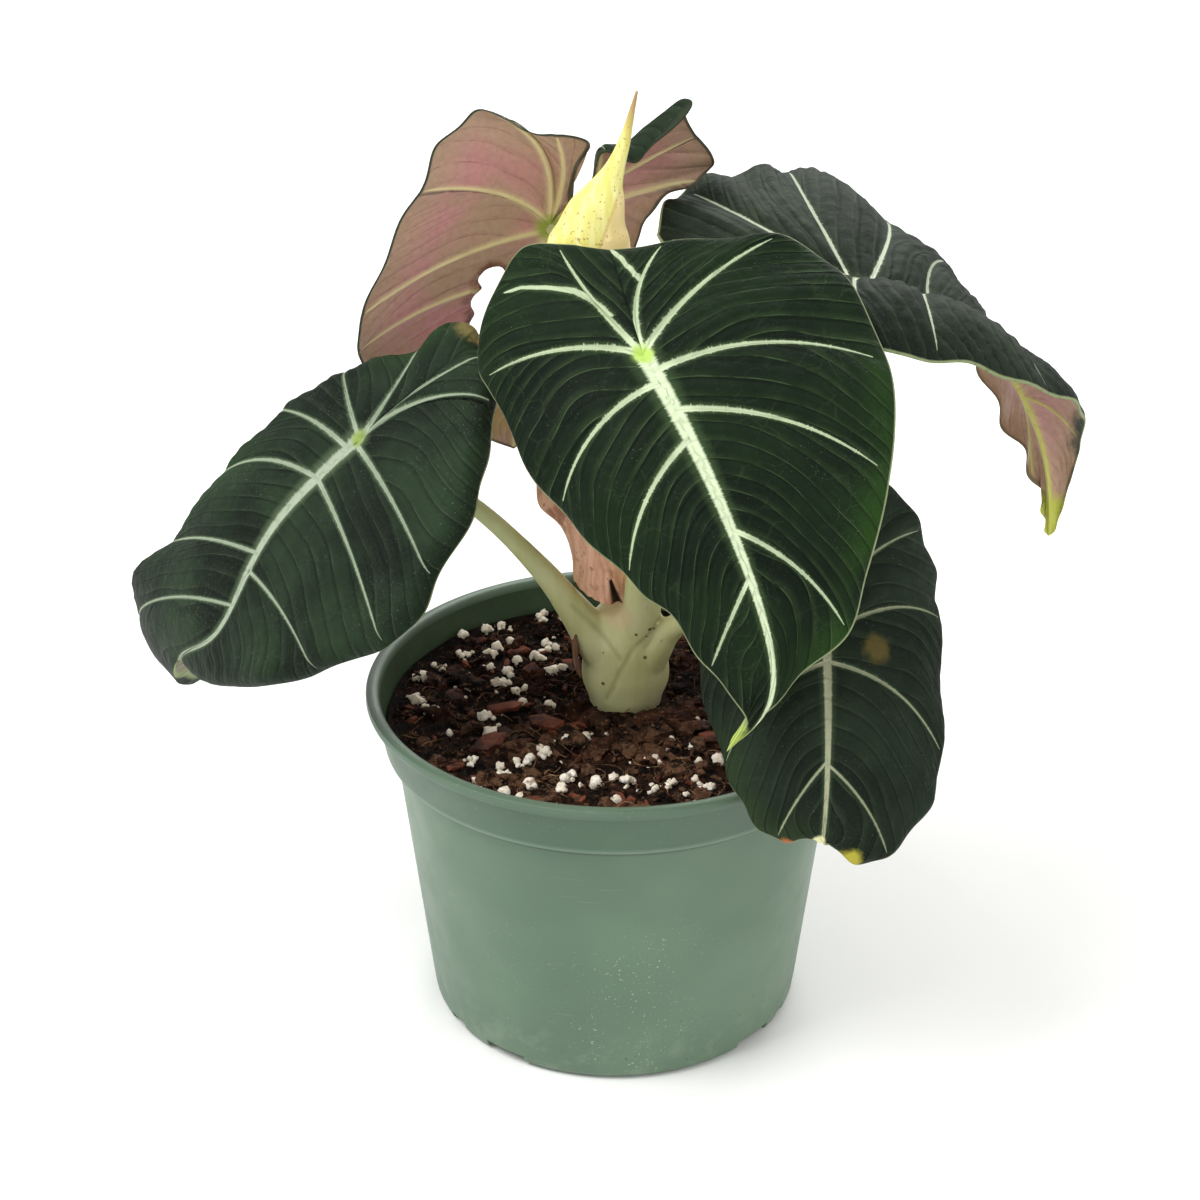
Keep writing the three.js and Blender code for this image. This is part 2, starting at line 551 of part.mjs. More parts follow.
// One spoke's points: the top face and the underside
function spokeColumn(leaf, half, spoke, margin) {
  const sign = half === 'neg' ? -1 : 1;
  const start = [spoke.station, midribLine(leaf, spoke.station)];
  const end = marginPoint(margin, spoke.margin);
  const length = Math.max(Math.hypot(end[0] - start[0], end[1] - start[1]), 1e-6);
  const [width, angle] = rollAt(leaf, half, spoke);
  const flat = width ? Math.max(0.55, 1 - width / length) : 1;
  const [amplitude, count, phase] = leaf.wave;
  const calm = Math.min(1, margin.length - 1 - spoke.margin, spoke.margin / 3);
  return RINGS.map((ring) => {
    const place = spokePoint(start, end, spoke.bow, sign, Math.min(ring, flat));
    const point = onBlade(leaf, place[0], place[1]);
    const normal = bladeNormal(leaf, place[0], place[1]);
    const wave = calm * amplitude * ring ** 3 * Math.sin(count * 2 * Math.PI * spoke.margin / 16 + phase);
    const relief = reliefAt(spoke, ring);
    point.addScaledVector(normal, wave + leaf.quilt * relief.swell);
    if (ring > flat + 1e-9) {
      const before = spokePoint(start, end, spoke.bow, sign, flat - 0.02);
      const out = onBlade(leaf, place[0], place[1]).sub(onBlade(leaf, before[0], before[1])).normalize();
      const full = rad(angle);
      const radius = (1 - flat) * length / full;
      const turn = full * (ring - flat) / (1 - flat);
      point.addScaledVector(out, radius * Math.sin(turn));
      point.addScaledVector(normal, -radius * (1 - Math.cos(turn)));
      normal.multiplyScalar(Math.cos(turn)).addScaledVector(out, Math.sin(turn));
    }
    const midribShare = Math.max(0, 1 - Math.max(spoke.station, 0) / leaf.length);
    const midrib = ring === 0 ? MIDRIB_RISE[1] + (MIDRIB_RISE[0] - MIDRIB_RISE[1]) * midribShare : 0;
    const below = BLADE_THICKNESS / 2 + Math.max(midrib, VEIN_RISE * relief.vein);
    const above = BLADE_THICKNESS / 2 - 0.15 * relief.vein;
    return {
      top: point.clone().addScaledVector(normal, above),
      under: point.clone().addScaledVector(normal, -below),
    };
  });
}

// Joins two lines of points that run side by side, always taking the nearer next step
function zipped(lineA, lineB) {
  const triangles = [];
  let [i, j] = [0, 0];
  while (i + 1 < lineA.length || j + 1 < lineB.length) {
    const nextA = i + 1 < lineA.length ? lineA[i + 1].at : -Infinity;
    const nextB = j + 1 < lineB.length ? lineB[j + 1].at : -Infinity;
    if (nextA >= nextB && i + 1 < lineA.length) {
      triangles.push([lineA[i], lineA[i + 1], lineB[j]]);
      i += 1;
    } else {
      triangles.push([lineA[i], lineB[j + 1], lineB[j]]);
      j += 1;
    }
  }
  return triangles;
}

function bladeGeometry(leaf) {
  leaf.frame = bladeFrame(leaf.face);
  const halves = ['neg', 'pos'].map((half) => {
    const margin = marginOf(leaf, half);
    const spokes = spokesOf(leaf, half);
    return { spokes, columns: spokes.map((spoke) => spokeColumn(leaf, half, spoke, margin)) };
  });
  const midrib = [];
  for (const { spokes, columns } of halves) {
    spokes.forEach((spoke, k) => {
      const known = midrib.some((entry) => Math.abs(entry.at - spoke.station) < 1e-6);
      if (!known) midrib.push({ at: spoke.station, ...columns[k][0] });
    });
  }
  midrib.sort((a, b) => b.at - a.at);
  const triangles = [];
  halves.forEach(({ spokes, columns }, side) => {
    const add = (a, b, c) => {
      triangles.push(side ? [a.top, b.top, c.top] : [a.top, c.top, b.top]);
      triangles.push(side ? [a.under, c.under, b.under] : [a.under, b.under, c.under]);
    };
    const inner = columns.map((column, k) => ({ at: spokes[k].station - k * 1e-7, ...column[1] }));
    for (const [a, b, c] of zipped(midrib, inner)) add(a, b, c);
    for (let k = 0; k + 1 < columns.length; k += 1) {
      for (let r = 1; r + 1 < RINGS.length; r += 1) {
        const [a, b] = [columns[k][r], columns[k][r + 1]];
        const [c, d] = [columns[k + 1][r], columns[k + 1][r + 1]];
        add(a, c, d);
        add(a, d, b);
      }
      const [a, b] = [columns[k][RINGS.length - 1], columns[k + 1][RINGS.length - 1]];
      triangles.push(side ? [a.top, b.top, b.under] : [a.top, b.under, b.top]);
      triangles.push(side ? [a.top, b.under, a.under] : [a.top, a.under, b.under]);
    }
  });
  return outward(soup(triangles));
}

// Crown with its petioles

function petioleEnd(leaf) {
  const { up } = bladeFrame(leaf.face);
  const rise = BLADE_THICKNESS / 2 + MIDRIB_RISE[0] + FIT_GAP;
  const node = vec(leaf.node);
  return [node.clone().addScaledVector(up, -13).toArray(), node.clone().addScaledVector(up, -rise).toArray()];
}

function crownSolid(grow) {
  const profile = [[0, CROWN_ROOT_Z], [CROWN_ROOT_RADIUS + grow, CROWN_ROOT_Z],
    ...CROWN_PROFILE.map(([z, radius]) => [radius + grow, z]), [0, 149 + grow]];
  const body = turned(profile, 20);
  const places = body.getAttribute('position');
  for (let i = 0; i < places.count; i += 1) {
    const share = Math.min(1, Math.max(0, (places.getZ(i) - 108) / 4));
    places.setY(i, places.getY(i) * (1 - (1 - CROWN_DEPTH_SHARE) * share));
  }
  body.translate(CROWN_X, CROWN_Y, 0);
  const pieces = [toSolid(cleaned(body))];
  for (const [name, petiole] of Object.entries(PETIOLES)) {
    const path = [...petiole.path, ...petioleEnd(LEAVES[name])];
    const shape = stem(path, petiole.foot + grow, PETIOLE_END_RADIUS + grow, 12, 8);
    pieces.push(toSolid(shape));
  }
  pieces.push(toSolid(stem(STALK_PATH, STALK_RADII[0] + grow, STALK_RADII[1] + grow, 8, 8)));
  return Manifold.union(pieces);
}

// Spathe hood

function hoodGeometry() {
  const rings = HOOD.map(([x, y, z, wide, deep]) => {
    const ring = [];
    for (let i = 0; i < 14; i += 1) {
      const angle = 2 * Math.PI * i / 14;
      ring.push(new THREE.Vector3(x + wide * Math.cos(angle), y + deep * Math.sin(angle), z));
    }
    return ring;
  });
  return skinned(rings);
}

// Thin papery sheet over rows of points, bulged towards the front
function sheetSolid(rows, columns, thickness) {
  const front = rows.map(([left, right, bulge]) => {
    const line = [];
    for (let i = 0; i <= columns; i += 1) {
      const share = i / columns;
      const point = vec(left).lerp(vec(right), share);
      point.y -= bulge * Math.sin(Math.PI * share);
      line.push(point);
    }
    return line;
  });
  const behind = front.map((line) => line.map((point) => point.clone().add(new THREE.Vector3(0, thickness, 0))));
  const loops = front.map((line, k) => [...line, ...behind[k].slice().reverse()]);
  const triangles = [];
  const [last, size] = [loops.length - 1, loops[0].length];
  for (let k = 0; k < last; k += 1) {
    for (let i = 0; i < size; i += 1) {
      const j = (i + 1) % size;
      triangles.push([loops[k][i], loops[k][j], loops[k + 1][j]], [loops[k][i], loops[k + 1][j], loops[k + 1][i]]);
    }
  }
  for (const [k, turn] of [[0, true], [last, false]]) {
    for (let i = 0; i < columns; i += 1) {
      const [a, b, c, d] = [front[k][i], front[k][i + 1], behind[k][i + 1], behind[k][i]];
      triangles.push(turn ? [a, c, b] : [a, b, c], turn ? [a, d, c] : [a, c, d]);
    }
  }
  return toSolid(outward(soup(triangles)));
}

function largestPiece(solid) {
  return solid.decompose().reduce((best, piece) => (piece.volume() > best.volume() ? piece : best));
}

// Assembly

const group = new THREE.Group();
group.name = 'potted_alocasia';

function add(name, geometry, colour, roughness) {
  const look = new THREE.MeshStandardMaterial({ color: colour, roughness, metalness: 0, name: `${name}_look` });
  const mesh = new THREE.Mesh(geometry, look);
  mesh.name = name;
  group.add(mesh);
}

add('pot', potGeometry(), COLOURS.pot, 0.6);
add('soil', soilGeometry(), COLOURS.soil, 0.95);
add('crown', toGeometry(crownSolid(0)), COLOURS.crown, 0.5);
for (const [name, leaf] of Object.entries(LEAVES)) {
  add(`blade_${name}`, bladeGeometry(leaf), name === 'back' ? COLOURS.underside : COLOURS.blade, 0.7);
}
add('spathe', hoodGeometry(), COLOURS.hood, 0.5);
const stems = crownSolid(FIT_GAP);
const sheath = sheetSolid(SHEATH_ROWS, 7, SHEATH_THICKNESS).subtract(stems);
add('dry_sheath', toGeometry(largestPiece(sheath)), COLOURS.sheath, 0.8);
const scale = sheetSolid(SCALE_ROWS, 3, SHEATH_THICKNESS).subtract(stems);
add('papery_scale', toGeometry(largestPiece(scale)), COLOURS.scale, 0.85);

export default group;
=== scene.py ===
# %% [markdown]
# A potted black velvet alocasia, dressed for its picture.
# The packed model gives the real sizes. This lesson keeps its places and swaps the plain solids for
# finer pieces: veined velvet blades, a moulded pot, a loose bark mix and smooth living stems.

# %% Load the frame
import math
import bpy
import numpy as np
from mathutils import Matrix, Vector


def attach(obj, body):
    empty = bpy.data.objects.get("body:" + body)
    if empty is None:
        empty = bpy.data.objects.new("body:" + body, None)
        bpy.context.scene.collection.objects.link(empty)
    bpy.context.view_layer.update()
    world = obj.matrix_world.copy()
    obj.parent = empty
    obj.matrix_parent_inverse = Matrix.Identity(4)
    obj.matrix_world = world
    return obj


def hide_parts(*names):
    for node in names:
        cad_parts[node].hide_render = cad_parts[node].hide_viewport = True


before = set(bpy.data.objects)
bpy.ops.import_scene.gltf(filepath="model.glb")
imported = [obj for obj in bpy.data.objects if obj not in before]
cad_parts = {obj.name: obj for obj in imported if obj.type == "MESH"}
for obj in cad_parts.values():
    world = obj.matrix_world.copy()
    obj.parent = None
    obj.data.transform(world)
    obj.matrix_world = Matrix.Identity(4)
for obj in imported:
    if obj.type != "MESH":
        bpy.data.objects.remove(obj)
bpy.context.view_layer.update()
MM = 0.001
print("nodes:", sorted(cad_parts))


# %% [markdown]
# Small helpers come first. Colours are written as the eye reads them, 0 to 255, and turned into the
# linear values that a shader needs. A finished mesh always has its place in its vertices.

# %% Helpers
def shade(r, g, b):
    def linear(v):
        v /= 255
        return v / 12.92 if v <= 0.04045 else ((v + 0.055) / 1.055) ** 2.4
    return (linear(r), linear(g), linear(b), 1.0)


def choose(*pieces):
    """Selects these pieces and nothing else, and makes the first one active."""
    for obj in bpy.context.selected_objects:
        obj.select_set(False)
    for obj in pieces:
        obj.select_set(True)
    if pieces:
        bpy.context.view_layer.objects.active = pieces[0]


def apply(obj, kind, **settings):
    choose(obj)
    modifier = obj.modifiers.new(kind.lower(), kind)
    for key, value in settings.items():
        setattr(modifier, key, value)
    bpy.ops.object.modifier_apply(modifier=modifier.name)


print("sage green in linear light:", shade(90, 115, 93))


# %% [markdown]
# Leaves and loose soil are free shapes, so they are worked out as points and faces. A tube is a stack
# of rings, each joined to the next, and its faces point outwards whether it runs up or down.

# %% Meshes from points
def mesh_piece(name, points, faces, smooth=True):
    mesh = bpy.data.meshes.new(name)
    mesh.from_pydata([tuple(p) for p in points], [], [tuple(f) for f in faces])
    obj = bpy.data.objects.new(name, mesh)
    bpy.context.scene.collection.objects.link(obj)
    if smooth:
        mesh.shade_smooth()
    return obj


def tube_faces(rings, sides, downward=False):
    """Faces of a closed tube, ring by ring, with both ends shut."""
    faces = []
    for k in range(rings - 1):
        for i in range(sides):
            a, b = k * sides + i, k * sides + (i + 1) % sides
            faces.append((a, a + sides, b + sides, b) if downward else (a, b, b + sides, a + sides))
    first = tuple(range(sides))
    last = tuple((rings - 1) * sides + i for i in first)
    return faces + ([first, last[::-1]] if downward else [first[::-1], last])


def read_points(mesh, field="co"):
    points = np.empty(len(mesh.vertices) * 3)
    mesh.vertices.foreach_get(field, points)
    return points.reshape(-1, 3)


def keep_values(mesh, key, values):
    """Stores one number on each corner point, for the paint to read."""
    layer = mesh.attributes.new(key, "FLOAT", "POINT")
    layer.data.foreach_set("value", values.astype(np.float32))


print("faces of a tube with 3 rings of 8:", len(tube_faces(3, 8)))


# %% [markdown]
# A body turned like a pot is one circle that is extruded again and again up its profile, each new
# ring scaled to its radius. That is how one would draw it by hand, and it keeps clean loops.

# %% Turned bodies
def turned_body(name, profile, sides):
    radius, height = profile[0]
    choose()
    bpy.ops.mesh.primitive_circle_add(vertices=sides, radius=radius * MM, location=(0, 0, height * MM))
    obj = bpy.context.active_object
    obj.name = name
    bpy.ops.object.transform_apply(location=True, rotation=True, scale=True)
    bpy.ops.object.mode_set(mode="EDIT")
    bpy.ops.mesh.select_all(action="SELECT")
    for (r0, z0), (r1, z1) in zip(profile, profile[1:]):
        bpy.ops.mesh.extrude_region_move(TRANSFORM_OT_translate={"value": (0, 0, (z1 - z0) * MM)})
        bpy.ops.transform.resize(value=(r1 / r0, r1 / r0, 1), center_override=(0, 0, 0))
    bpy.ops.mesh.select_all(action="SELECT")
    bpy.ops.mesh.fill_holes(sides=0)
    bpy.ops.mesh.normals_make_consistent(inside=False)
    bpy.ops.object.mode_set(mode="OBJECT")
    return obj


# %% [markdown]
# The pot is moulded plastic: a thin wall with a small step under its lip band, a rounded bead at the
# top, and a base lifted off the table. Its outline is a list of radius and height, from the middle of
# the base out, up the outside, over the lip and down the inside.

# %% Pot
POT_HEIGHT, LIP_RADIUS, BASE_LIFT = 116.0, 82.5, 4.0
POT_PROFILE = [
    (0.4, 0.0), (17.0, 0.0), (18.0, 0.05), (18.8, 0.8), (20.0, BASE_LIFT), (53.3, BASE_LIFT), (54.4, 1.2),
    (54.9, 0.2), (55.6, 0.0), (59.2, 0.0), (60.6, 0.35), (61.5, 1.2), (62.1, 2.6), (62.4, 4.4), (62.9, 8.0),
    (67.9, 51.0), (72.8, 92.0), (73.25, 95.6), (73.45, 96.3), (74.2, 96.7), (76.0, 96.9), (76.6, 97.15),
    (76.8, 97.7), (77.2, 99.6), (79.2, 110.6), (79.4, 111.5), (80.0, 112.0), (81.3, 112.35),
    (82.2, 112.9), (LIP_RADIUS, 113.7), (LIP_RADIUS, 114.8), (82.2, 115.6), (81.5, POT_HEIGHT),
    (79.8, POT_HEIGHT), (78.7, 115.7), (78.1, 114.9), (77.8, 113.4), (75.35, 99.2), (74.9, 97.9),
    (71.6, 95.2), (71.2, 94.2), (66.0, 50.0), (60.9, 9.4), (60.2, 7.4), (58.6, 6.6), (0.4, 6.5),
]
pot = turned_body("pot_shell", POT_PROFILE, 160)
print("pot faces as turned:", len(pot.data.polygons))


# %% [markdown]
# Water runs out through gaps in the foot ring. Each gap is a box laid across the ring, all the boxes
# are joined, and one Boolean modifier cuts them away. A narrow Bevel then rounds the moulded edges.

# %% Drain gaps
FOOT_MIDDLE, FOOT_OUTSIDE, GAP_DEPTH, GAP_HEIGHT = 60.3, 62.3, 14, 7.2
EDGE_ROUNDING = 0.25
# Direction and width of each gap in degrees, counted from the front
FOOT_GAPS = [(-58, 8), (-36, 14), (49, 14), (65, 6), (122, 14), (138, 6), (-122, 14), (-138, 6)]

cutters = []
for middle, width in FOOT_GAPS:
    span = 2 * FOOT_OUTSIDE * math.tan(math.radians(width) / 2)
    turn = math.radians(middle)
    place = (math.sin(turn) * FOOT_MIDDLE * MM, -math.cos(turn) * FOOT_MIDDLE * MM, 0)
    choose()
    bpy.ops.mesh.primitive_cube_add(size=1, location=place, rotation=(0, 0, turn))
    box = bpy.context.active_object
    box.scale = (span * MM, GAP_DEPTH * MM, GAP_HEIGHT * MM)
    bpy.ops.object.transform_apply(location=True, rotation=True, scale=True)
    cutters.append(box)
choose(*cutters)
bpy.ops.object.join()
gap_cutter = bpy.context.active_object
apply(pot, "BOOLEAN", object=gap_cutter, operation="DIFFERENCE", solver="EXACT")
bpy.data.objects.remove(gap_cutter)
apply(pot, "BEVEL", width=EDGE_ROUNDING * MM, segments=2, limit_method="ANGLE", angle_limit=math.radians(60))
choose(pot)
bpy.ops.object.shade_smooth_by_angle(angle=math.radians(38))
print("pot faces:", len(pot.data.polygons))


# %% [markdown]
# Soil is placed by a seeded rule, so that it comes out the same each time. The same run of numbers
# places the large grains where the plain model has them, and more small ones follow.

# %% Seeded places on the soil
CROWN_X, CROWN_Y = 3.4, 8.0
SOIL_HEIGHT, SOIL_SLOPE, SOIL_SWELL = 105.2, 0.016, 1.3 * 0.6
SOIL_RADIUS, GRAIN_REACH = 75.6, 73


def seeded(seed):
    state = seed
    while True:
        state = (state * 1664525 + 1013904223) % 4294967296
        yield state / 4294967296


def from_crown(x, y):
    return np.hypot(x - CROWN_X, y - CROWN_Y)


def soil_height(x, y):
    swell = np.sin(x * 0.11 + 1.3) * np.cos(y * 0.13 - 0.4) + 0.6 * np.sin(x * 0.31 - y * 0.27)
    return SOIL_HEIGHT - SOIL_SLOPE * y + SOIL_SWELL * swell


def soil_place(draw):
    """A place that is likelier at the back left and at the front, and off the crown."""
    while True:
        angle = 2 * math.pi * next(draw)
        radius = GRAIN_REACH * math.sqrt(next(draw))
        x, y = radius * math.cos(angle), radius * math.sin(angle)
        near = max(0.0, math.cos(angle - math.radians(150)), math.cos(angle + math.radians(100)))
        if from_crown(x, y) > 20 and next(draw) < 0.35 + 0.65 * near:
            return x, y


def lumps(x, y):
    """Clods, crumbs and pits of a loose mix, in millimetres: one heap and five sizes of waves."""
    value = 1.6 * np.exp(-((x - 6) ** 2 + (y + 12) ** 2) / 150)
    for step, (size, height) in enumerate([(17, 1.3), (8.5, 1.2), (4.3, 0.8), (2.1, 0.7), (1.1, 0.35)]):
        a = np.sin(x / size * 6.28 + 2.1 * np.sin(y / size * 4.4 + step) + 1.7 * step)
        b = np.sin(y / size * 6.28 + 1.9 * np.sin(x / size * 5.1 - step) + 0.6 * step)
        value = value + height * (1 - np.abs(a * b) ** 0.6) * 0.8 - height * 0.35
    return value


def on_soil(x, y):
    return soil_height(x, y) + float(lumps(np.array(x), np.array(y))) * 0.7


print("soil height at the front and the back:", soil_height(0, -60), soil_height(0, 60))


# %% [markdown]
# The ground is a round grid of many small faces, pushed up and down by summed waves of falling size.
# It is calmer at the pot's wall and round the crown, and a wall closes it along the inside of the pot.

# %% Ground
def ground_mesh(rings=120, sides=300, wall=((74.6, 98.6), (70.9, 94.4), (60.2, 9.0), (0.6, 7.2))):
    radii = np.linspace(0.6, SOIL_RADIUS, rings)
    angle = np.linspace(0, 2 * np.pi, sides, endpoint=False)
    x = radii[:, None] * np.cos(angle)
    y = radii[:, None] * np.sin(angle)
    calm = np.clip((SOIL_RADIUS - radii) / 3, 0, 1)[:, None]
    crown = np.clip((from_crown(x, y) - 13.5) / 6, 0, 1)
    z = soil_height(x, y) + lumps(x, y) * calm * (0.35 + 0.65 * crown)
    points = np.stack([x, y, z], -1).reshape(-1, 3)
    for radius, height in wall:
        ring = np.stack([radius * np.cos(angle), radius * np.sin(angle), 0 * angle + height], -1)
        points = np.concatenate([points, ring])
    return mesh_piece("ground", points * MM, tube_faces(rings + len(wall), sides, downward=True))


ground = ground_mesh()
print("ground faces:", len(ground.data.polygons))


# %% [markdown]
# Grains, chips and clods are all rough stones. One is an icosphere whose corners are pushed in and
# out. A few of them are made, and each copy then gets a size and a turn of its own.

# %% Rough stones
def rough_stone(detail, draw, spread):
    choose()
    bpy.ops.mesh.primitive_ico_sphere_add(subdivisions=detail, radius=1)
    obj = bpy.context.active_object
    points = read_points(obj.data)
    faces = [tuple(p.vertices) for p in obj.data.polygons]
    bpy.data.objects.remove(obj)
    push = np.array([1 + spread * (next(draw) - 0.5) for _ in points])
    return points * push[:, None], faces


def turned_by(points, a, b):
    """Points turned about X and then about Z."""
    ca, sa, cb, sb = math.cos(a), math.sin(a), math.cos(b), math.sin(b)
    x, y, z = points.T
    y, z = y * ca - z * sa, y * sa + z * ca
    x, y = x * cb - y * sb, x * sb + y * cb
    return np.stack([x, y, z], -1)


def scatter(name, pieces, smooth=True):
    points, faces, base = [], [], 0
    for shape, corners in pieces:
        points.append(shape)
        faces += [tuple(base + c for c in f) for f in corners]
        base += len(shape)
    return mesh_piece(name, np.concatenate(points) * MM, faces, smooth)


draw, more, shapes = seeded(7), seeded(19), seeded(3)
stones = [rough_stone(2, shapes, 0.62) for _ in range(6)]
shards = [rough_stone(1 + i % 2, seeded(31 + i), 0.75) for i in range(6)]
print("corners of a stone and of a shard:", len(stones[0][0]), len(shards[0][0]))


# %% [markdown]
# Perlite is puffed volcanic glass: white, lumpy and light, and its grains cling in clusters. The large
# grains lie where the plain model has them. Small ones follow in the clusters that the eye notices,
# and the smallest lie anywhere.

# %% Perlite
LARGE_GRAINS, SMALL_GRAINS, IN_CLUSTERS, CLUSTER_SPREAD = 74, 300, 216, 3.4
CLUSTERS = [(-40, 60), (-45, 55), (-60, 31), (-66, 20), (-52, 37), (-66, 5), (-61, -4), (-39, 17), (-32, 12),
            (-47, -38), (-43, -47), (-30, -37), (-34, -44), (-23, -31), (-17, -53), (11, -37), (18, -50),
            (5, -51), (-27, 66), (-23, 41), (28, -50), (-13, -48), (-10, -20), (40, 40), (55, 20), (30, 60),
            (5, 64)]

grains = []
for i in range(LARGE_GRAINS):
    size = 1.2 + 1.5 * next(draw) ** 1.5
    scale = np.array([1, 0.75 + 0.35 * next(draw), 0.7 + 0.3 * next(draw)])
    a, b = 6 * next(draw), 6 * next(draw)
    x, y = soil_place(draw)
    points, faces = stones[i % 6]
    z = soil_height(x, y) + size * 0.3 + 0.35
    grains.append((turned_by(points * scale * size, a, b) + (x, y, z), faces))
for i in range(SMALL_GRAINS):
    size = 0.6 + 1.1 * next(more) ** 1.5
    if i < IN_CLUSTERS:
        cluster = CLUSTERS[i % len(CLUSTERS)]
        x, y = (middle + CLUSTER_SPREAD * (next(more) + next(more) - 1) for middle in cluster)
    else:
        size *= 0.6
        x, y = soil_place(more)
    if math.hypot(x, y) > 73.2 or from_crown(x, y) < 16:
        continue
    points, faces = stones[i % 6]
    scale = np.array([1, 0.7 + 0.3 * next(more), 0.7 + 0.3 * next(more)])
    grain = turned_by(points * scale * size, 6 * next(more), 6 * next(more))
    grains.append((grain + (x, y, on_soil(x, y) + size * (0.4 + 0.7 * next(more))), faces))
perlite = scatter("perlite", grains)
print("perlite grains:", len(grains))


# %% [markdown]
# Bark comes as flat, blunt-ended chips, so a shard's rounding is squared off before it is stretched.
# The last chips are the large ones that show best, each laid one by one.

# %% Bark chips
FIRST_CHIPS, MORE_CHIPS, CHIP_REACH = 28, 50, 72
# Place and length in millimetres, and the way it points
CHIPS = [(-37, -1, 13, 0.3), (-41, -24, 14, 1.1), (-23, -12, 12, 2.6), (28, -14, 11, 0.2), (-54, 5, 8, 1.9),
         (-33, 40, 9, 0.9), (34, -22, 13, 2.9), (-8, -30, 9, 2.2)]

chips = []
for i in range(FIRST_CHIPS + MORE_CHIPS + len(CHIPS)):
    source = draw if i < FIRST_CHIPS else more
    length = 5 + 6 * next(source)
    width = length * (0.35 + 0.25 * next(source))
    thick = 1.8 + next(source)
    next(source)  # The plain model's chips lean sideways too, so one number is passed over
    lean, turn = 0.5 * (next(source) - 0.5), math.pi * next(source)
    x, y = soil_place(source)
    share = min(1, (CHIP_REACH - length / 2) / max(math.hypot(x, y), 1e-6))
    lift = 0.4
    if i >= FIRST_CHIPS + MORE_CHIPS:
        x, y, length, turn = CHIPS[i - FIRST_CHIPS - MORE_CHIPS]
        width, thick, lean, share, lift = length * 0.62, 3.4, lean * 0.8, 1, 0.7
    elif i >= FIRST_CHIPS:
        length, width, thick, lift = length * 0.6, width * 0.5, thick * 0.6, 0.7
    points, faces = shards[i % 6]
    squared = np.sign(points) * np.abs(points) ** 0.6
    shape = turned_by(squared * np.array([length / 2, width / 2, thick / 2]), lean, turn)
    chips.append((shape + (x * share, y * share, soil_height(x * share, y * share) + lift), faces))
bark = scatter("bark", chips, smooth=False)
print("perlite and bark faces:", len(perlite.data.polygons), len(bark.data.polygons))


# %% [markdown]
# Peat comes in soft clods with crumbs between them. A clod is a very rough stone sunk by half. The
# first clods heap up round the front of the crown, and the next ones are the largest in view.

# %% Clods and crumbs
HEAPED_CLODS, ALL_CLODS, HEAPED_CRUMBS, ALL_CRUMBS = 16, 300, 110, 1500
BIG_CLODS = [(3, -23), (13, -20), (-6, -29), (24, -15), (34, -9), (11, -31), (-14, -22), (46, -14),
             (-30, -30), (-48, 14)]


def open_place(draw):
    """A place anywhere on the soil but under the crown."""
    while True:
        angle, radius = 2 * math.pi * next(draw), 72 * math.sqrt(next(draw))
        x, y = radius * math.cos(angle), radius * math.sin(angle)
        if from_crown(x, y) > 16.5:
            return x, y


def lay_clod(shape, scale, lift, x, y, wobble):
    points, faces = shape
    place = (x, y, on_soil(x, y) + lift)
    return turned_by(points * scale, wobble * next(clod_draw), 6 * next(clod_draw)) + place, faces


clod_draw = seeded(57)
clumps = [rough_stone(2, clod_draw, 0.95) for _ in range(7)]
clod_pieces = []
for i in range(ALL_CLODS):
    x, y = open_place(clod_draw)
    size = 1.2 + 2.9 * next(clod_draw) ** 2
    if i < HEAPED_CLODS:
        a, reach = math.radians(-150 + 8.5 * i), 17.5 + 5 * next(clod_draw)
        x, y, size = CROWN_X + reach * math.cos(a), CROWN_Y + reach * math.sin(a), 3.4
    elif i < HEAPED_CLODS + len(BIG_CLODS):
        x, y, size = *BIG_CLODS[i - HEAPED_CLODS], 5.2
    scale = np.array([1.15, 0.85, 0.55 + 0.25 * next(clod_draw)]) * size
    clod_pieces.append(lay_clod(clumps[i % 7], scale, size * 0.12, x, y, 0.6))
for i in range(ALL_CRUMBS):
    x, y = open_place(clod_draw)
    if i < HEAPED_CRUMBS:
        a, reach = 6.28 * next(clod_draw), 15.2 + 4 * next(clod_draw) ** 2
        x, y = CROWN_X + reach * math.cos(a), CROWN_Y + reach * math.sin(a)
    size = 0.4 + 0.8 * next(clod_draw) ** 2
    clod_pieces.append(lay_clod(shards[2 * (i % 3)], np.array([1.3, 0.9, 0.7]) * size, size * 0.5, x, y, 6))
clods = scatter("clods", clod_pieces, smooth=False)
print("clods and crumbs:", len(clod_pieces))


# %% [markdown]
# Fibres and petioles are both bent, tapering tubes. A smooth line is drawn through a few points, and a
# ring is set square to it at each step, carried along without twisting.

# %% Bent tubes
def smooth_path(path, count):
    path = np.array(path, float)
    gaps = np.linalg.norm(np.diff(path, axis=0), axis=1) ** 0.5
    knots = np.concatenate([[0], np.cumsum(gaps)])
    ghost = np.vstack([2 * path[0] - path[1], path, 2 * path[-1] - path[-2]])
    times = np.concatenate([[-gaps[0]], knots, [knots[-1] + gaps[-1]]])
    out = []
    for t in np.linspace(0, knots[-1] - 1e-9, count):
        i = int(np.searchsorted(knots, t, side="right"))
        p, q = ghost[i - 1:i + 3], times[i - 1:i + 3]
        a = [p[k] + (p[k + 1] - p[k]) * (t - q[k]) / (q[k + 1] - q[k]) for k in range(3)]
        b = [a[k] + (a[k + 1] - a[k]) * (t - q[k]) / (q[k + 2] - q[k]) for k in range(2)]
        out.append(b[0] + (b[1] - b[0]) * (t - q[1]) / (q[2] - q[1]))
    return np.array(out)


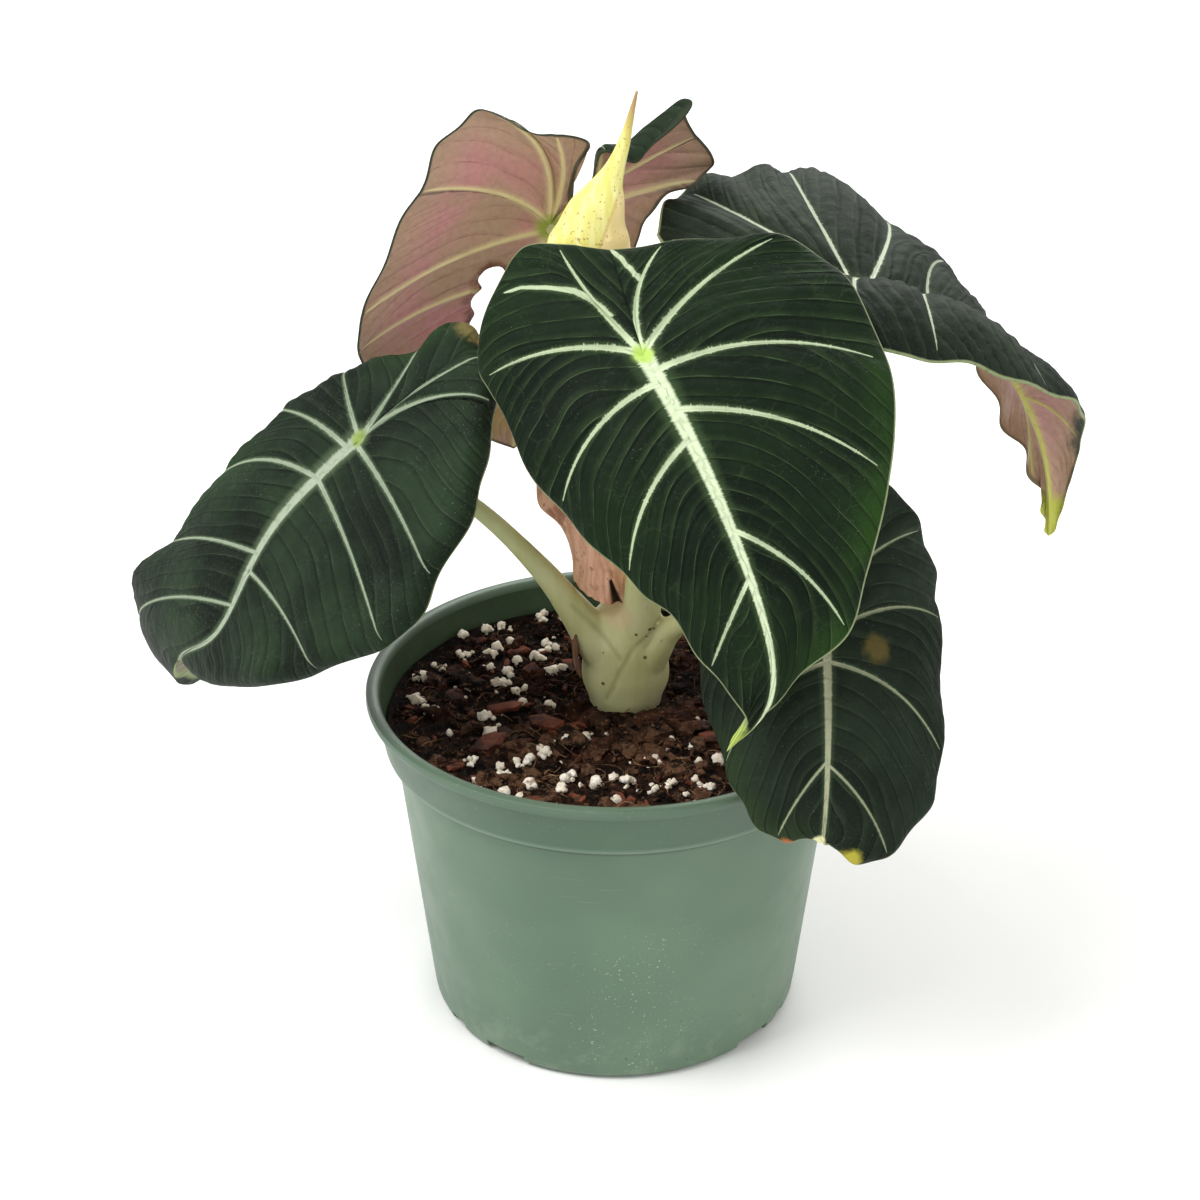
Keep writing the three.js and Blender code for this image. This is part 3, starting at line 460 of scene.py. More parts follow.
def tube(path, radii, sides=20, count=60):
    """Closed tapering tube; radii is a list of (share of the path, radius)."""
    line = smooth_path(path, count)
    tangent = np.gradient(line, axis=0)
    tangent /= np.linalg.norm(tangent, axis=1, keepdims=True)
    side = np.cross(tangent[0], (0, 1, 0.2))
    side /= np.linalg.norm(side)
    radius = np.interp(np.linspace(0, 1, count), *np.array(radii).T)
    points = []
    for k in range(count):
        side = side - tangent[k] * (side @ tangent[k])
        side /= np.linalg.norm(side)
        other = np.cross(tangent[k], side)
        for i in range(sides):
            a = 2 * math.pi * i / sides
            points.append(line[k] + radius[k] * (math.cos(a) * side + math.sin(a) * other))
    return np.array(points), tube_faces(count, sides)


# %% [markdown]
# Root and coir fibres lie between the clods. Each one is a very thin tube with a light bend, whose
# points rest on the mix or just above it.

# %% Fibres
FIBRES, FIBRE_REACH = 170, 72.5

fibre_pieces = []
for i in range(FIBRES):
    x, y = open_place(clod_draw)
    turn, length = 6.28 * next(clod_draw), 4 + 8 * next(clod_draw)
    bend = 1.6 * (next(clod_draw) - 0.5)
    path = []
    for k in range(4):
        a = turn + bend * k
        px, py = x + length / 3 * k * math.cos(a), y + length / 3 * k * math.sin(a)
        inside = min(1, FIBRE_REACH / max(math.hypot(px, py), 1e-6))
        px, py = px * inside, py * inside
        path.append((px, py, on_soil(px, py) + 0.5 + 1.3 * next(clod_draw)))
    thin = 0.14 + 0.16 * next(clod_draw)
    fibre_pieces.append(tube(path, [(0, thin), (1, thin * 0.5)], sides=5, count=7))
fibres = scatter("fibres", fibre_pieces)
print("clods and fibres:", len(clods.data.polygons), len(fibres.data.polygons))


# %% [markdown]
# Blades. Each one is drawn flat, as a margin line and a few veins, and then bent: down along its
# midrib, and up or down across it. The numbers are those of the plain model, so the places agree,
# but here the grid between the veins is many times finer. A margin point is a place in millimetres,
# u along the midrib and v across it. A vein is where it leaves the midrib, the count of the margin
# point that it runs to, and its bow.

# %% The five blades in their flat form
LEAVES = {
    "front": dict(
        node=(8, -35.5, 247.5), face=(-79, 58, 18), length=129, bend=(46, 14), back=0, sweep=(20, 12), bow=0,
        twist=-20, power=2, fold=(0, -12), curl=(0, -45), quilt=1.2, roll=(4, 45),
        wave=(1.2, 9, 0), sinus=(-40, -9),
        neg=dict(margin=[(124, 12), (118, 5), (110, -6), (102, -23), (87, -35), (67, -50), (54, -59),
                         (32, -69), (10, -72), (-8, -71), (-23, -62), (-30, -46), (-35, -28)],
                 veins=[(61, 4.0, 4), (21, 6.2, 7), (7, 8.0, 9), (0, 11.0, 5), (0, 13.05, 5.5)]),
        pos=dict(margin=[(125, 18), (119, 13), (108, 18), (95, 23), (80, 27), (69, 33), (55, 39), (38, 45),
                         (18, 50), (-6, 50), (-22, 48), (-33, 48), (-44, 34), (-53, 20), (-51, 8)],
                 veins=[(76, 3.5, 1), (31, 6.4, 5), (11, 8.4, 6), (0, 11.3, 4), (0, 13.4, 8),
                        (0, 15.2, -2)])),
    "left": dict(
        node=(-81, -1, 204), face=(-135, 42, -26), length=108, bend=(6, 45), back=10, sweep=(4, 3), bow=-13,
        twist=8, power=2, fold=(7, 10), curl=(-20, -37), quilt=1.0, roll=(10, 110), roll_tip=True,
        wave=(1, 9, 1), sinus=(-52, -1),
        neg=dict(margin=[(105, -12), (96, -26), (86, -37), (70, -50), (57, -57), (44, -63), (32, -68),
                         (18, -68), (4, -62), (-15, -55), (-26, -47), (-36, -37), (-46, -26), (-53, -12)],
                 veins=[(56, 5.1, 4), (19, 7.0, 4), (2, 8.9, 3), (0, 12.9, 7), (0, 14.2, 3)]),
        pos=dict(margin=[(115, 7), (129, 12), (148, 26), (138, 45), (118, 50), (100, 47), (79, 40.5),
                         (62, 40), (46, 39.5), (32, 40.5), (18, 41.5), (4, 38), (-8, 34), (-20, 28),
                         (-34, 17), (-47, 16), (-54, 10)],
                 veins=[(68, 4.3, 6), (50, 6.5, 3), (19, 8.3, 6), (5, 10.6, 3), (0, 13.0, 0), (0, 15.3, 2)])),
    "back": dict(
        node=(-22.2, 51.5, 257.3), face=(112, 18, 3), length=98, bend=(-10, 18), back=10, sweep=(3, 2), bow=0,
        twist=0, power=2, fold=(-4, 2), curl=(0, 0), quilt=1.5, roll=(3, 30),
        wave=(1, 9, 1), sinus=(1, 8), turned={"pos": (14.2, 18.8, 12, 160)},
        neg=dict(margin=[(94, -4), (89, -12), (79, -27), (65, -45), (54, -56), (41, -62), (28, -62),
                         (9, -58), (-8, -53.5), (-24, -48), (-38, -45), (-47, -38), (-50, -31), (-45, -22),
                         (-40, -15), (-36, -4), (-32, 8), (-21, 6), (-9, 6)],
                 veins=[(58, 3.8, 4), (24, 5.8, 8), (3, 7.0, 6), (0, 9.8, 6), (0, 13.0, 9), (0, 16.0, 4)]),
        pos=dict(margin=[(94, 9), (88, 14), (78, 23), (62, 31), (45, 35), (26, 31), (10, 35), (0, 36.5),
                         (-6, 42), (-10, 50), (-15, 56), (-22, 54), (-31, 46), (-41, 40), (-50, 41),
                         (-44, 33), (-39, 23), (-36, 10), (-20, 12), (-9, 12)],
                 veins=[(58, 4.0, 4), (24, 6.0, 3), (3, 10.3, 3), (0, 12.8, 2), (0, 14.6, 0),
                        (0, 18.0, -9)])),
    "right": dict(
        node=(74.8, 32.3, 244.4), face=(20, 77, 0), length=141, bend=(80, -2), back=62, sweep=(0, 2), bow=0,
        twist=72, power=3.5, fold=(26, 28), curl=(-20, -72), quilt=2.0, roll=(3, 30),
        wave=(2.0, 13, 0), sinus=(-34, 0),
        neg=dict(margin=[(139, -0.6), (133, -1.4), (124, -4), (113, -13), (104, -27), (90, -40), (68, -38),
                         (46, -49), (19, -89), (-1, -76), (-20, -68), (-38, -56.5), (-49, -42), (-54, -26),
                         (-46, -8)],
                 veins=[(84, 3.2, 4), (58, 6.2, 5), (30, 7.7, 4), (7, 8.35, -2), (0, 9.35, 6),
                        (0, 11.8, 5), (0, 13.8, 3)]),
        pos=dict(margin=[(139, 2), (132, 4), (122, 7), (110, 12), (98, 19), (84, 29), (66, 40), (45, 47),
                         (24, 49), (4, 52), (-18, 46), (-36, 38), (-49, 30), (-54, 20), (-46, 8)],
                 veins=[(84, 4.4, 4), (58, 7.2, 5), (28, 9.55, 6), (3, 10.8, 4), (0, 12.2, 5),
                        (0, 13.8, 3)])),
    "low": dict(
        node=(63.7, -58.3, 173.6), face=(-86, 34, 0), length=72, bend=(-4, 34), back=5, sweep=(3, 2), bow=0,
        twist=-10, power=2, fold=(0, 0), curl=(-60, -65), quilt=1.2, roll=(4, 50),
        wave=(1, 9, 2), sinus=(-30, 0),
        neg=dict(margin=[(76, -2), (81, -8), (80, -16), (74, -24), (66, -32), (57, -38), (41, -42),
                         (22, -45), (3, -46), (-7, -45), (-17, -43), (-26, -38), (-34, -33), (-40, -22),
                         (-38, -10)],
                 veins=[(47, 3.2, 3), (16, 6.6, 6), (8, 9.0, 6), (0, 12.0, 5)]),
        pos=dict(margin=[(72, 9), (74, 15), (72, 22), (65, 28), (56, 33), (44, 38), (26, 44), (10, 47),
                         (-8, 46), (-22, 42), (-34, 33), (-40, 22), (-38, 10)],
                 veins=[(46, 2.4, 2), (16, 5.6, 6), (6, 7.6, 6), (0, 10.0, 5)])),
}

print("midribs in millimetres:", {name: leaf["length"] for name, leaf in LEAVES.items()})


# %% [markdown]
# The bending itself. A point of the flat blade goes along the bent midrib first, and then out across
# it on a line whose slope changes with the distance. Both walks are summed up in small steps.

# %% From flat to bent
SLOPE_STEPS, CURL_SPAN = 16, 50
MIDRIB_TABLE = np.arange(-90.0, 181.0, 1.0)


def blade_axes(leaf):
    az, el, sp = (math.radians(v) for v in leaf["face"])
    up = np.array([math.cos(el) * math.cos(az), math.cos(el) * math.sin(az), math.sin(el)])
    down = np.array([math.sin(el) * math.cos(az), math.sin(el) * math.sin(az), -math.cos(el)])
    along = math.cos(sp) * down + math.sin(sp) * np.cross(up, down)
    return along, np.cross(along, up), up


def bend_angle(leaf, u):
    x = u / leaf["length"]
    front = leaf["bend"][0] * x + leaf["bend"][1] * x ** 3
    return np.radians(np.where(x > 0, front, leaf["back"] * x))


def midrib_line(leaf, u):
    x = np.maximum(u / leaf["length"], 0)
    return leaf["sweep"][0] * x ** leaf["sweep"][1] + leaf["bow"] * np.sin(np.pi * np.minimum(x, 1) ** 2) ** 2


def summed(steps):
    """Running total along the midrib, which is nought at the node."""
    total = np.concatenate([[0], np.cumsum((steps[1:] + steps[:-1]) / 2)])
    return total - total[MIDRIB_TABLE == 0]


def on_blade(leaf, u, v):
    along, side, up = blade_axes(leaf)
    angles = bend_angle(leaf, MIDRIB_TABLE)
    run, drop = summed(np.cos(angles)), summed(np.sin(angles))
    angle = bend_angle(leaf, u)
    normal = np.sin(angle)[..., None] * along + np.cos(angle)[..., None] * up
    place = np.array(leaf["node"], float) + np.interp(u, MIDRIB_TABLE, run)[..., None] * along
    place = place - np.interp(u, MIDRIB_TABLE, drop)[..., None] * up
    turn = np.radians(leaf["twist"] * np.maximum(u / leaf["length"], 0) ** leaf["power"])[..., None]
    across = np.cos(turn) * side + np.sin(turn) * normal
    above = np.cos(turn) * normal - np.sin(turn) * side
    middle = midrib_line(leaf, u)
    width, right = np.abs(v - middle), v > middle
    fold, curl = (np.where(right, leaf[key][1], leaf[key][0]) for key in ("fold", "curl"))
    lateral, lift = 0 * width, 0 * width
    for k in range(SLOPE_STEPS):
        slope = np.radians(fold + curl * (k + 0.5) / SLOPE_STEPS * width / CURL_SPAN)
        lateral = lateral + np.cos(slope) * width / SLOPE_STEPS
        lift = lift + np.sin(slope) * width / SLOPE_STEPS
    place = place + (middle + np.where(right, lateral, -lateral))[..., None] * across
    return place + lift[..., None] * above


def blade_normal(leaf, u, v):
    along_u = on_blade(leaf, u + 0.2, v) - on_blade(leaf, u - 0.2, v)
    along_v = on_blade(leaf, u, v + 0.2) - on_blade(leaf, u, v - 0.2)
    normal = np.cross(along_v, along_u)
    return normal / np.linalg.norm(normal, axis=-1, keepdims=True)


for name, leaf in LEAVES.items():
    tip = np.array([float(leaf["length"])])
    print("tip of the", name, "blade:", on_blade(leaf, tip, midrib_line(leaf, tip))[0].round(1))


# %% [markdown]
# A margin, a hood and a sheet are all given by a few rows of numbers, and the shape between them is a
# smooth curve that runs through every row. A vein is a bow from the midrib to the margin.

# %% Smooth curves
def through(rows, t):
    """Points at the counts t on a smooth curve through the rows."""
    rows = np.array(rows, float)
    rows = np.vstack([2 * rows[0] - rows[1], rows, 2 * rows[-1] - rows[-2]])
    t = np.clip(t, 0, len(rows) - 3 - 1e-9)
    i = t.astype(int)
    x = (t - i)[:, None]
    a, b, c, d = rows[i], rows[i + 1], rows[i + 2], rows[i + 3]
    return 0.5 * (2 * b + (c - a) * x + (2 * a - 5 * b + 4 * c - d) * x ** 2
                  + (3 * b - a - 3 * c + d) * x ** 3)


def bowed(start, end, bow, sign, ring):
    """Points on bows from start to end, at the shares in ring, and the lengths of the bows' chords."""
    span = end - start
    length = np.maximum(np.linalg.norm(span, axis=-1), 1e-6)
    bend = start + span / 2
    bend[..., 0] -= 2 * bow * np.abs(span[..., 1]) / length
    bend[..., 1] += 2 * bow * sign * span[..., 0] / length
    r = ring[..., None]
    return (1 - r) ** 2 * start[:, None] + 2 * r * (1 - r) * bend[:, None] + r * r * end[:, None], length


def nearest_line(points, line):
    """Distance from each point to a bent line, and how far along it that is."""
    best, where = np.full(len(points), 1e9), np.zeros(len(points))
    steps = len(line) - 1
    for k in range(steps):
        a, d = line[k], line[k + 1] - line[k]
        t = np.clip(((points - a) @ d) / max(d @ d, 1e-9), 0, 1)
        gap = np.linalg.norm(points - a - t[:, None] * d, axis=1)
        closer = gap < best
        best[closer] = gap[closer]
        where[closer] = (k + t[closer]) / steps
    return best, where


print("halfway between 0, 1 and 3:", through([[0], [1], [3]], np.array([0.5, 1.5])).ravel())


# %% [markdown]
# The grid. Lines run from the midrib to the margin, the veins among them. Both halves share their
# places on the midrib, so that they meet there corner to corner.

# %% Lines from midrib to margin
MARGIN_STEP, LINE_GAP, TIP_MARK = 14, 1.6, 0.93


def marks_of(leaf, half):
    last = len(leaf[half]["margin"]) + 1
    return np.array([(TIP_MARK * leaf["length"], 0, 0), *leaf[half]["veins"], (0, last, 0)], float)


def front_stations(leaf):
    """Places on the midrib that both halves share, from near the tip to the petiole."""
    both = [marks_of(leaf, half) for half in ("neg", "pos")]
    stops = sorted({s for marks in both for s in marks[:, 0]}, reverse=True)
    stations = []
    for high, low in zip(stops, stops[1:]):
        close = min(0.15, (high - low) * 0.05)
        reach = (high - low) / 1.5
        for marks in both:
            front = marks[:int(np.argmax(marks[:, 0] <= 0)) + 1][::-1]
            counts = np.interp([low, high], front[:, 0], front[:, 1])
            reach = max(reach, abs(counts[0] - counts[1]) * MARGIN_STEP / LINE_GAP)
        count = max(2, int(math.ceil(reach)))
        stations += [high + (low - high) * k / count for k in range(count)] + [low + close]
    return np.array(stations)


def lines_of(leaf, half, stations):
    """Station, margin count, bow, share of the way to the next vein, and vein number of each line."""
    marks = marks_of(leaf, half)
    first_rear = int(np.argmax(marks[:, 0] <= 0))
    front = marks[:first_rear + 1][::-1]
    rows = []
    for s in stations:
        count, bow = (np.interp(s, front[:, 0], front[:, k]) for k in (1, 2))
        i = int(np.searchsorted(-marks[:first_rear + 1, 0], -s, side="right")) - 1
        share = (marks[i, 0] - s) / max(marks[i, 0] - marks[i + 1, 0], 1e-9)
        rows.append((s, count, bow, share, i))
    for i in range(first_rear, len(marks) - 1):
        count = max(4, int(math.ceil((marks[i + 1, 1] - marks[i, 1]) * MARGIN_STEP / LINE_GAP)))
        for share in [k / count for k in range(count)] + [1 - 0.1 / count]:
            row = marks[i] + (marks[i + 1] - marks[i]) * share
            rows.append((0, row[1], row[2], share, i))
    rows.append((0, marks[-1, 1], 0, 0, len(marks) - 1))
    return np.array(rows)


print("shared stations:", {name: len(front_stations(leaf)) for name, leaf in LEAVES.items()})


# %% [markdown]
# Rings cross the lines, closest at the midrib and the margin. The outermost strip of a real blade rolls
# under, and a part of the back blade is turned right over, so beyond that strip a line leaves the bent
# surface and goes round an arc.

# %% Rings and rolled margins
RINGS = np.concatenate([np.linspace(0, 0.06, 5), np.linspace(0.06, 0.8, 36)[1:], np.linspace(0.8, 1, 19)[1:]])
# This half lies nearly flat at its margin, so its waves are low
CALM_HALVES = {("right", "pos"): 0.35}


def roll_of(leaf, half, counts):
    """Width in millimetres and angle in degrees of the rolled strip at each line."""
    width = np.full(len(counts), float(leaf["roll"][0]))
    angle = np.full(len(counts), float(leaf["roll"][1]))
    if not leaf.get("roll_tip"):
        fade = np.clip(counts / 0.35, 0, 1)
        width, angle = width * np.maximum(fade, 0.02), angle * fade
    if half in leaf.get("turned", {}):
        start, end, wide, far = leaf["turned"][half]
        share = np.clip((counts - start) / (end - start), 0, 1)
        part = np.sin(np.pi * share) ** 0.8
        width, angle = width + (wide - width) * part, angle + (far - angle) * part
    return width, angle


def half_grid(name, leaf, half, stations):
    sign = -1 if half == "neg" else 1
    rows = lines_of(leaf, half, stations)
    tip = (leaf["length"], float(midrib_line(leaf, leaf["length"])))
    margin = [tip, *leaf[half]["margin"], leaf["sinus"]]
    start = np.stack([rows[:, 0], midrib_line(leaf, rows[:, 0])], -1)
    end = through(margin, rows[:, 1])
    width, angle = roll_of(leaf, half, rows[:, 1])
    length = np.linalg.norm(end - start, axis=1)
    flat = np.clip(1 - width / np.maximum(length, 1e-6), 0.55, 1)[:, None]
    ring = np.broadcast_to(RINGS, (len(rows), len(RINGS)))
    place, spread, before = (bowed(start, end, rows[:, 2], sign, r)[0]
                             for r in (np.minimum(ring, flat), ring, np.minimum(ring, flat - 0.02)))
    u, v = place[..., 0], place[..., 1]
    point, normal = on_blade(leaf, u, v), blade_normal(leaf, u, v)
    out = point - on_blade(leaf, before[..., 0], before[..., 1])
    out = out / np.maximum(np.linalg.norm(out, axis=-1, keepdims=True), 1e-9)
    return dict(rows=rows, ring=ring, flat=flat, angle=angle[:, None], length=length[:, None], spread=spread,
                calm=CALM_HALVES.get((name, half), 1.0), point=point, normal=normal, out=out, margin=margin)


print("rings across half a blade:", len(RINGS))


# %% [markdown]
# Between two main veins the blade swells, and its margin waves. Fine side veins fan out between the
# main ones: a count that rises by one from each to the next gives their places, for the low pillows
# between them as well as for the paint.

# %% Swell, waves and fine veins
FINE_GAP = 6.2


def relief(leaf, grid):
    """Swell between the veins and waves at the margin, in millimetres."""
    rows, ring = grid["rows"], grid["ring"]
    count, share, vein = rows[:, 1:2], rows[:, 3:4], rows[:, 4:5]
    closing = (vein >= rows[-1, 4] - 1) | (vein == 0)
    swell = np.sin(np.pi * share) ** 0.8 * np.sin(np.pi * ring) ** 0.7 * np.where(closing, 0.5, 1)
    amplitude, waves, phase = leaf["wave"]
    calm = np.minimum(1, np.minimum(rows[-1, 1] - count, count / 3))
    wave = calm * amplitude * ring ** 3 * np.sin(waves * 2 * np.pi * count / 16 + phase)
    return leaf["quilt"] * swell + wave * grid["calm"]


def side_vein_count(grid):
    rows, ring, spread = grid["rows"], grid["ring"], grid["spread"]
    part = rows[:, 4].astype(int)
    count = np.zeros(ring.shape)
    for i in range(part.max()):
        inside = part == i
        first, following = np.argmax(inside), np.argmax(part == i + 1)
        wide = np.linalg.norm(spread[following] - spread[first], axis=-1)
        drift = 1.7 * ring[inside] ** 2.5 + 0.16 * np.sin(9 * ring[inside] + 2.4 * i)
        count[inside] = (rows[inside, 3:4] - 0.5) * wide[None] / FINE_GAP + drift + 0.31 * i
    return count


print("the fine veins start", FINE_GAP, "mm apart")


# %% [markdown]
# The main veins taper from the midrib to the margin, and each blade has its own half widths, judged
# from the photograph: first near the midrib, then at the end. On the front blade a vein forks into
# each rear lobe, and those lines are drawn on their own.

# %% Vein widths and forks
MIDRIB_WIDTH = {"front": (2.5, 0.45), "left": (2.1, 0.45), "back": (2.0, 0.6), "right": (1.8, 0.6),
                "low": (1.5, 0.5)}
VEIN_WIDTH = {"front": (1.12, 0.24), "left": (0.85, 0.2), "back": (1.02, 0.4), "right": (0.75, 0.26),
              "low": (0.72, 0.2)}
VEIN_REACH = {"back": 0.98}
UNPAINTED = {("front", "pos"): [4]}
FORKS = {("front", "pos"): [(-15, 2.4), (-20, 3.4), (-25, 5), (-30, 8), (-36, 14.5), (-41, 21), (-43, 27)],
         ("front", "neg"): [(-24, -11.8), (-29.5, -10.8), (-35, -10), (-39, -8.8), (-41.5, -7)]}
FAR, FORK_WIDTH = 9.0, 0.8


def main_veins(name, leaf, half, grid, points):
    """Distance to the main veins over their half widths and in millimetres, and the way along them."""
    sign = -1 if half == "neg" else 1
    best, along, gap_mm = np.full(len(points), FAR), np.zeros(len(points)), np.full(len(points), 99.0)
    base, tip = VEIN_WIDTH[name]
    for k, (s, count, bow) in enumerate(marks_of(leaf, half)[1:-1]):
        if k in UNPAINTED.get((name, half), []):
            continue
        width = base * (1 - 0.75 * (max(s, 0) / leaf["length"]) ** 1.2)
        start = np.array([[s, float(midrib_line(leaf, s))]])
        end = through(grid["margin"], np.array([count]))
        shares = np.linspace(0, VEIN_REACH.get(name, 0.93), 50)
        line, length = bowed(start, end, np.array([bow]), sign, shares[None])
        gap, where = nearest_line(points, line[0])
        half_width = (width + (tip - width) * where ** 0.75) * np.clip((1 - where) / 0.12, 0.03, 1) ** 0.6
        closer = gap / half_width < best
        best[closer] = (gap / half_width)[closer]
        along[closer] = (where * length[0] + 40 * k)[closer]
        gap_mm = np.minimum(gap_mm, gap)
    return best, along, gap_mm


def fork_line(name, half, points):
    """Distance to the fork over its half width, and where it is near enough to count. It changes sign
    from one side to the other, so that the paint finds the thin line between two points too."""
    fork, reach = np.full(len(points), FAR), np.zeros(len(points))
    if (name, half) in FORKS:
        line = np.array(FORKS[name, half], float)
        gap, where = nearest_line(points, line)
        k = np.minimum((where * (len(line) - 1)).astype(int), len(line) - 2)
        span, off = line[k + 1] - line[k], points - line[k]
        side = np.sign(span[:, 0] * off[:, 1] - span[:, 1] * off[:, 0])
        half_width = FORK_WIDTH * np.clip((1 - where) / 0.3, 0.05, 1) ** 0.5
        fork = side * np.minimum(gap / half_width, FAR)
        reach = ((where > 0) & (where < 0.999) & (gap < 7)).astype(float)
    return fork, reach


def vein_fields(name, leaf, half, grid):
    """What each point keeps: its distances to veins, midrib, margin and fork, and the way along them."""
    points = grid["spread"].reshape(-1, 2)
    best, along, gap_mm = main_veins(name, leaf, half, grid, points)
    stations = np.linspace(leaf["length"] - 1, 0, 60)
    rib_gap, where = nearest_line(points, np.stack([stations, midrib_line(leaf, stations)], -1))
    wide, thin = MIDRIB_WIDTH[name]
    rib = np.minimum(rib_gap / (thin + (wide - thin) * where ** 1.2), FAR)
    along[rib < best] = (where * leaf["length"] + 300)[rib < best]
    edge = np.minimum(nearest_line(points, grid["spread"][:, -1])[0], 60)
    fields = (best, rib, along, edge, *fork_line(name, half, points), gap_mm, rib_gap)
    return [field.reshape(grid["ring"].shape) for field in fields]


print("half widths of the main veins in millimetres:", VEIN_WIDTH)


# %% [markdown]
# The top of a blade gets grooves where veins run and low pillows between the fine ones. The underside
# is the same skin a fraction of a millimetre below, where the veins stand out as ribs.

# %% Half a blade
PILLOW = {"front": 0.62, "left": 0.45, "back": -0.4, "right": 1.0, "low": 0.6}
HALF_THICKNESS, EDGE_THINNING = 0.4, 0.1
# Depth and width in millimetres of the grooves on top, and of the ribs underneath
VEIN_GROOVE, MIDRIB_GROOVE, VEIN_RIB, MIDRIB_RIB = (0.32, 1.0), (0.4, 1.9), (0.75, 0.9), (0.3, 1.6)
MIDRIB_SWELL = 1.2


def bell(gap, width):
    return np.exp(-(gap / width) ** 2)


def moulded(gap, size):
    return size[0] * bell(gap, size[1])


def blade_half(name, leaf, half, stations):
    """Top points, underside points, flat places and kept distances of one half."""
    grid = half_grid(name, leaf, half, stations)
    ring, flat, length, normal, out = (grid[key] for key in ("ring", "flat", "length", "normal", "out"))
    vein, rib, along, edge, fork, reach, vein_gap, rib_gap = vein_fields(name, leaf, half, grid)
    stripe = side_vein_count(grid)
    open_field = np.clip(vein_gap / 3, 0, 1) * np.clip(edge / 5, 0, 1) * np.clip(rib_gap / 5, 0, 1)
    cells = 1 + 0.18 * np.sin(ring * length * 0.75 + 2 * np.floor(stripe))
    pillow = PILLOW[name] * (np.abs(np.sin(np.pi * stripe)) ** 0.9 * cells - 0.5)
    lift = relief(leaf, grid) + pillow * open_field
    beyond = (ring - flat) / np.maximum(1 - flat, 1e-6)
    turn = np.radians(grid["angle"]) * np.clip(beyond, 0, 1)
    radius = (1 - flat) * length / np.radians(np.maximum(grid["angle"], 1e-3))
    top = grid["point"] + normal * lift[..., None]
    top = top + out * (radius * np.sin(turn))[..., None]
    top = top - normal * (radius * (1 - np.cos(turn)))[..., None]
    facing = normal * np.cos(turn)[..., None] + out * np.sin(turn)[..., None]
    groove = moulded(vein_gap, VEIN_GROOVE) + moulded(rib_gap, MIDRIB_GROOVE)
    share = np.maximum(0, 1 - np.maximum(grid["rows"][:, 0], 0) / leaf["length"])[:, None]
    rise = moulded(vein_gap, VEIN_RIB) * (1 - 0.6 * ring)
    rise = np.maximum(rise, (MIDRIB_RIB[0] + MIDRIB_SWELL * share) * bell(rib_gap, MIDRIB_RIB[1]))
    thin = HALF_THICKNESS - EDGE_THINNING * ring ** 6
    upper = top + facing * (thin - groove)[..., None]
    lower = top - facing * (thin + rise)[..., None]
    return upper, lower, grid["spread"], np.stack([vein, rib, along, edge, fork, reach, stripe], -1)


print("a blade is", 2 * HALF_THICKNESS, "mm thick")


# %% [markdown]
# An insect has eaten a hole beside the back blade's midrib. The faces inside a few circles are left
# out, and the ragged edge is evened by moving each of its points towards its neighbours.

# %% Eaten hole
# Flat places and radii in millimetres
TEAR = [((20, -16.5), 4.6), ((29, -16.5), 6.4), ((40, -15.5), 6)]


def tear_out(quads, upper, lower, places):
    """Leaves out the quads of the hole, evens its edge, and returns the quads and the hole's edges."""
    centre = places[quads].mean(axis=1)
    inside = np.zeros(len(quads), bool)
    for place, radius in TEAR:
        inside |= np.linalg.norm(centre - np.array(place), axis=1) < radius
    following = {}
    for quad in quads[inside]:
        for a, b in zip(quad, np.roll(quad, -1)):
            following[a, b] = True
    loop, after = np.array([(a, b) for a, b in following if (b, a) not in following]).T
    for _ in range(6):
        for points in (upper, lower):
            moved = points.copy()
            np.add.at(moved, after, points[loop])
            np.add.at(moved, loop, points[after])
            points[loop] = moved[loop] / 3
    return quads[~inside], np.stack([loop, after], -1)


print("the hole runs along the midrib from", TEAR[0][0][0], "to", TEAR[-1][0][0], "mm")


# %% [markdown]
# Both halves and both skins are joined into one closed blade, and the doubles along the midrib merge.
# Each corner keeps how far it is from the veins, the midrib and the margin, which the paint follows,
# and the flat drawing stays with it as a UV map.

# %% Build the blades
KEPT = ("vein", "rib", "along", "edge", "fork", "reach", "stripe")
FLAT_SPAN = 200


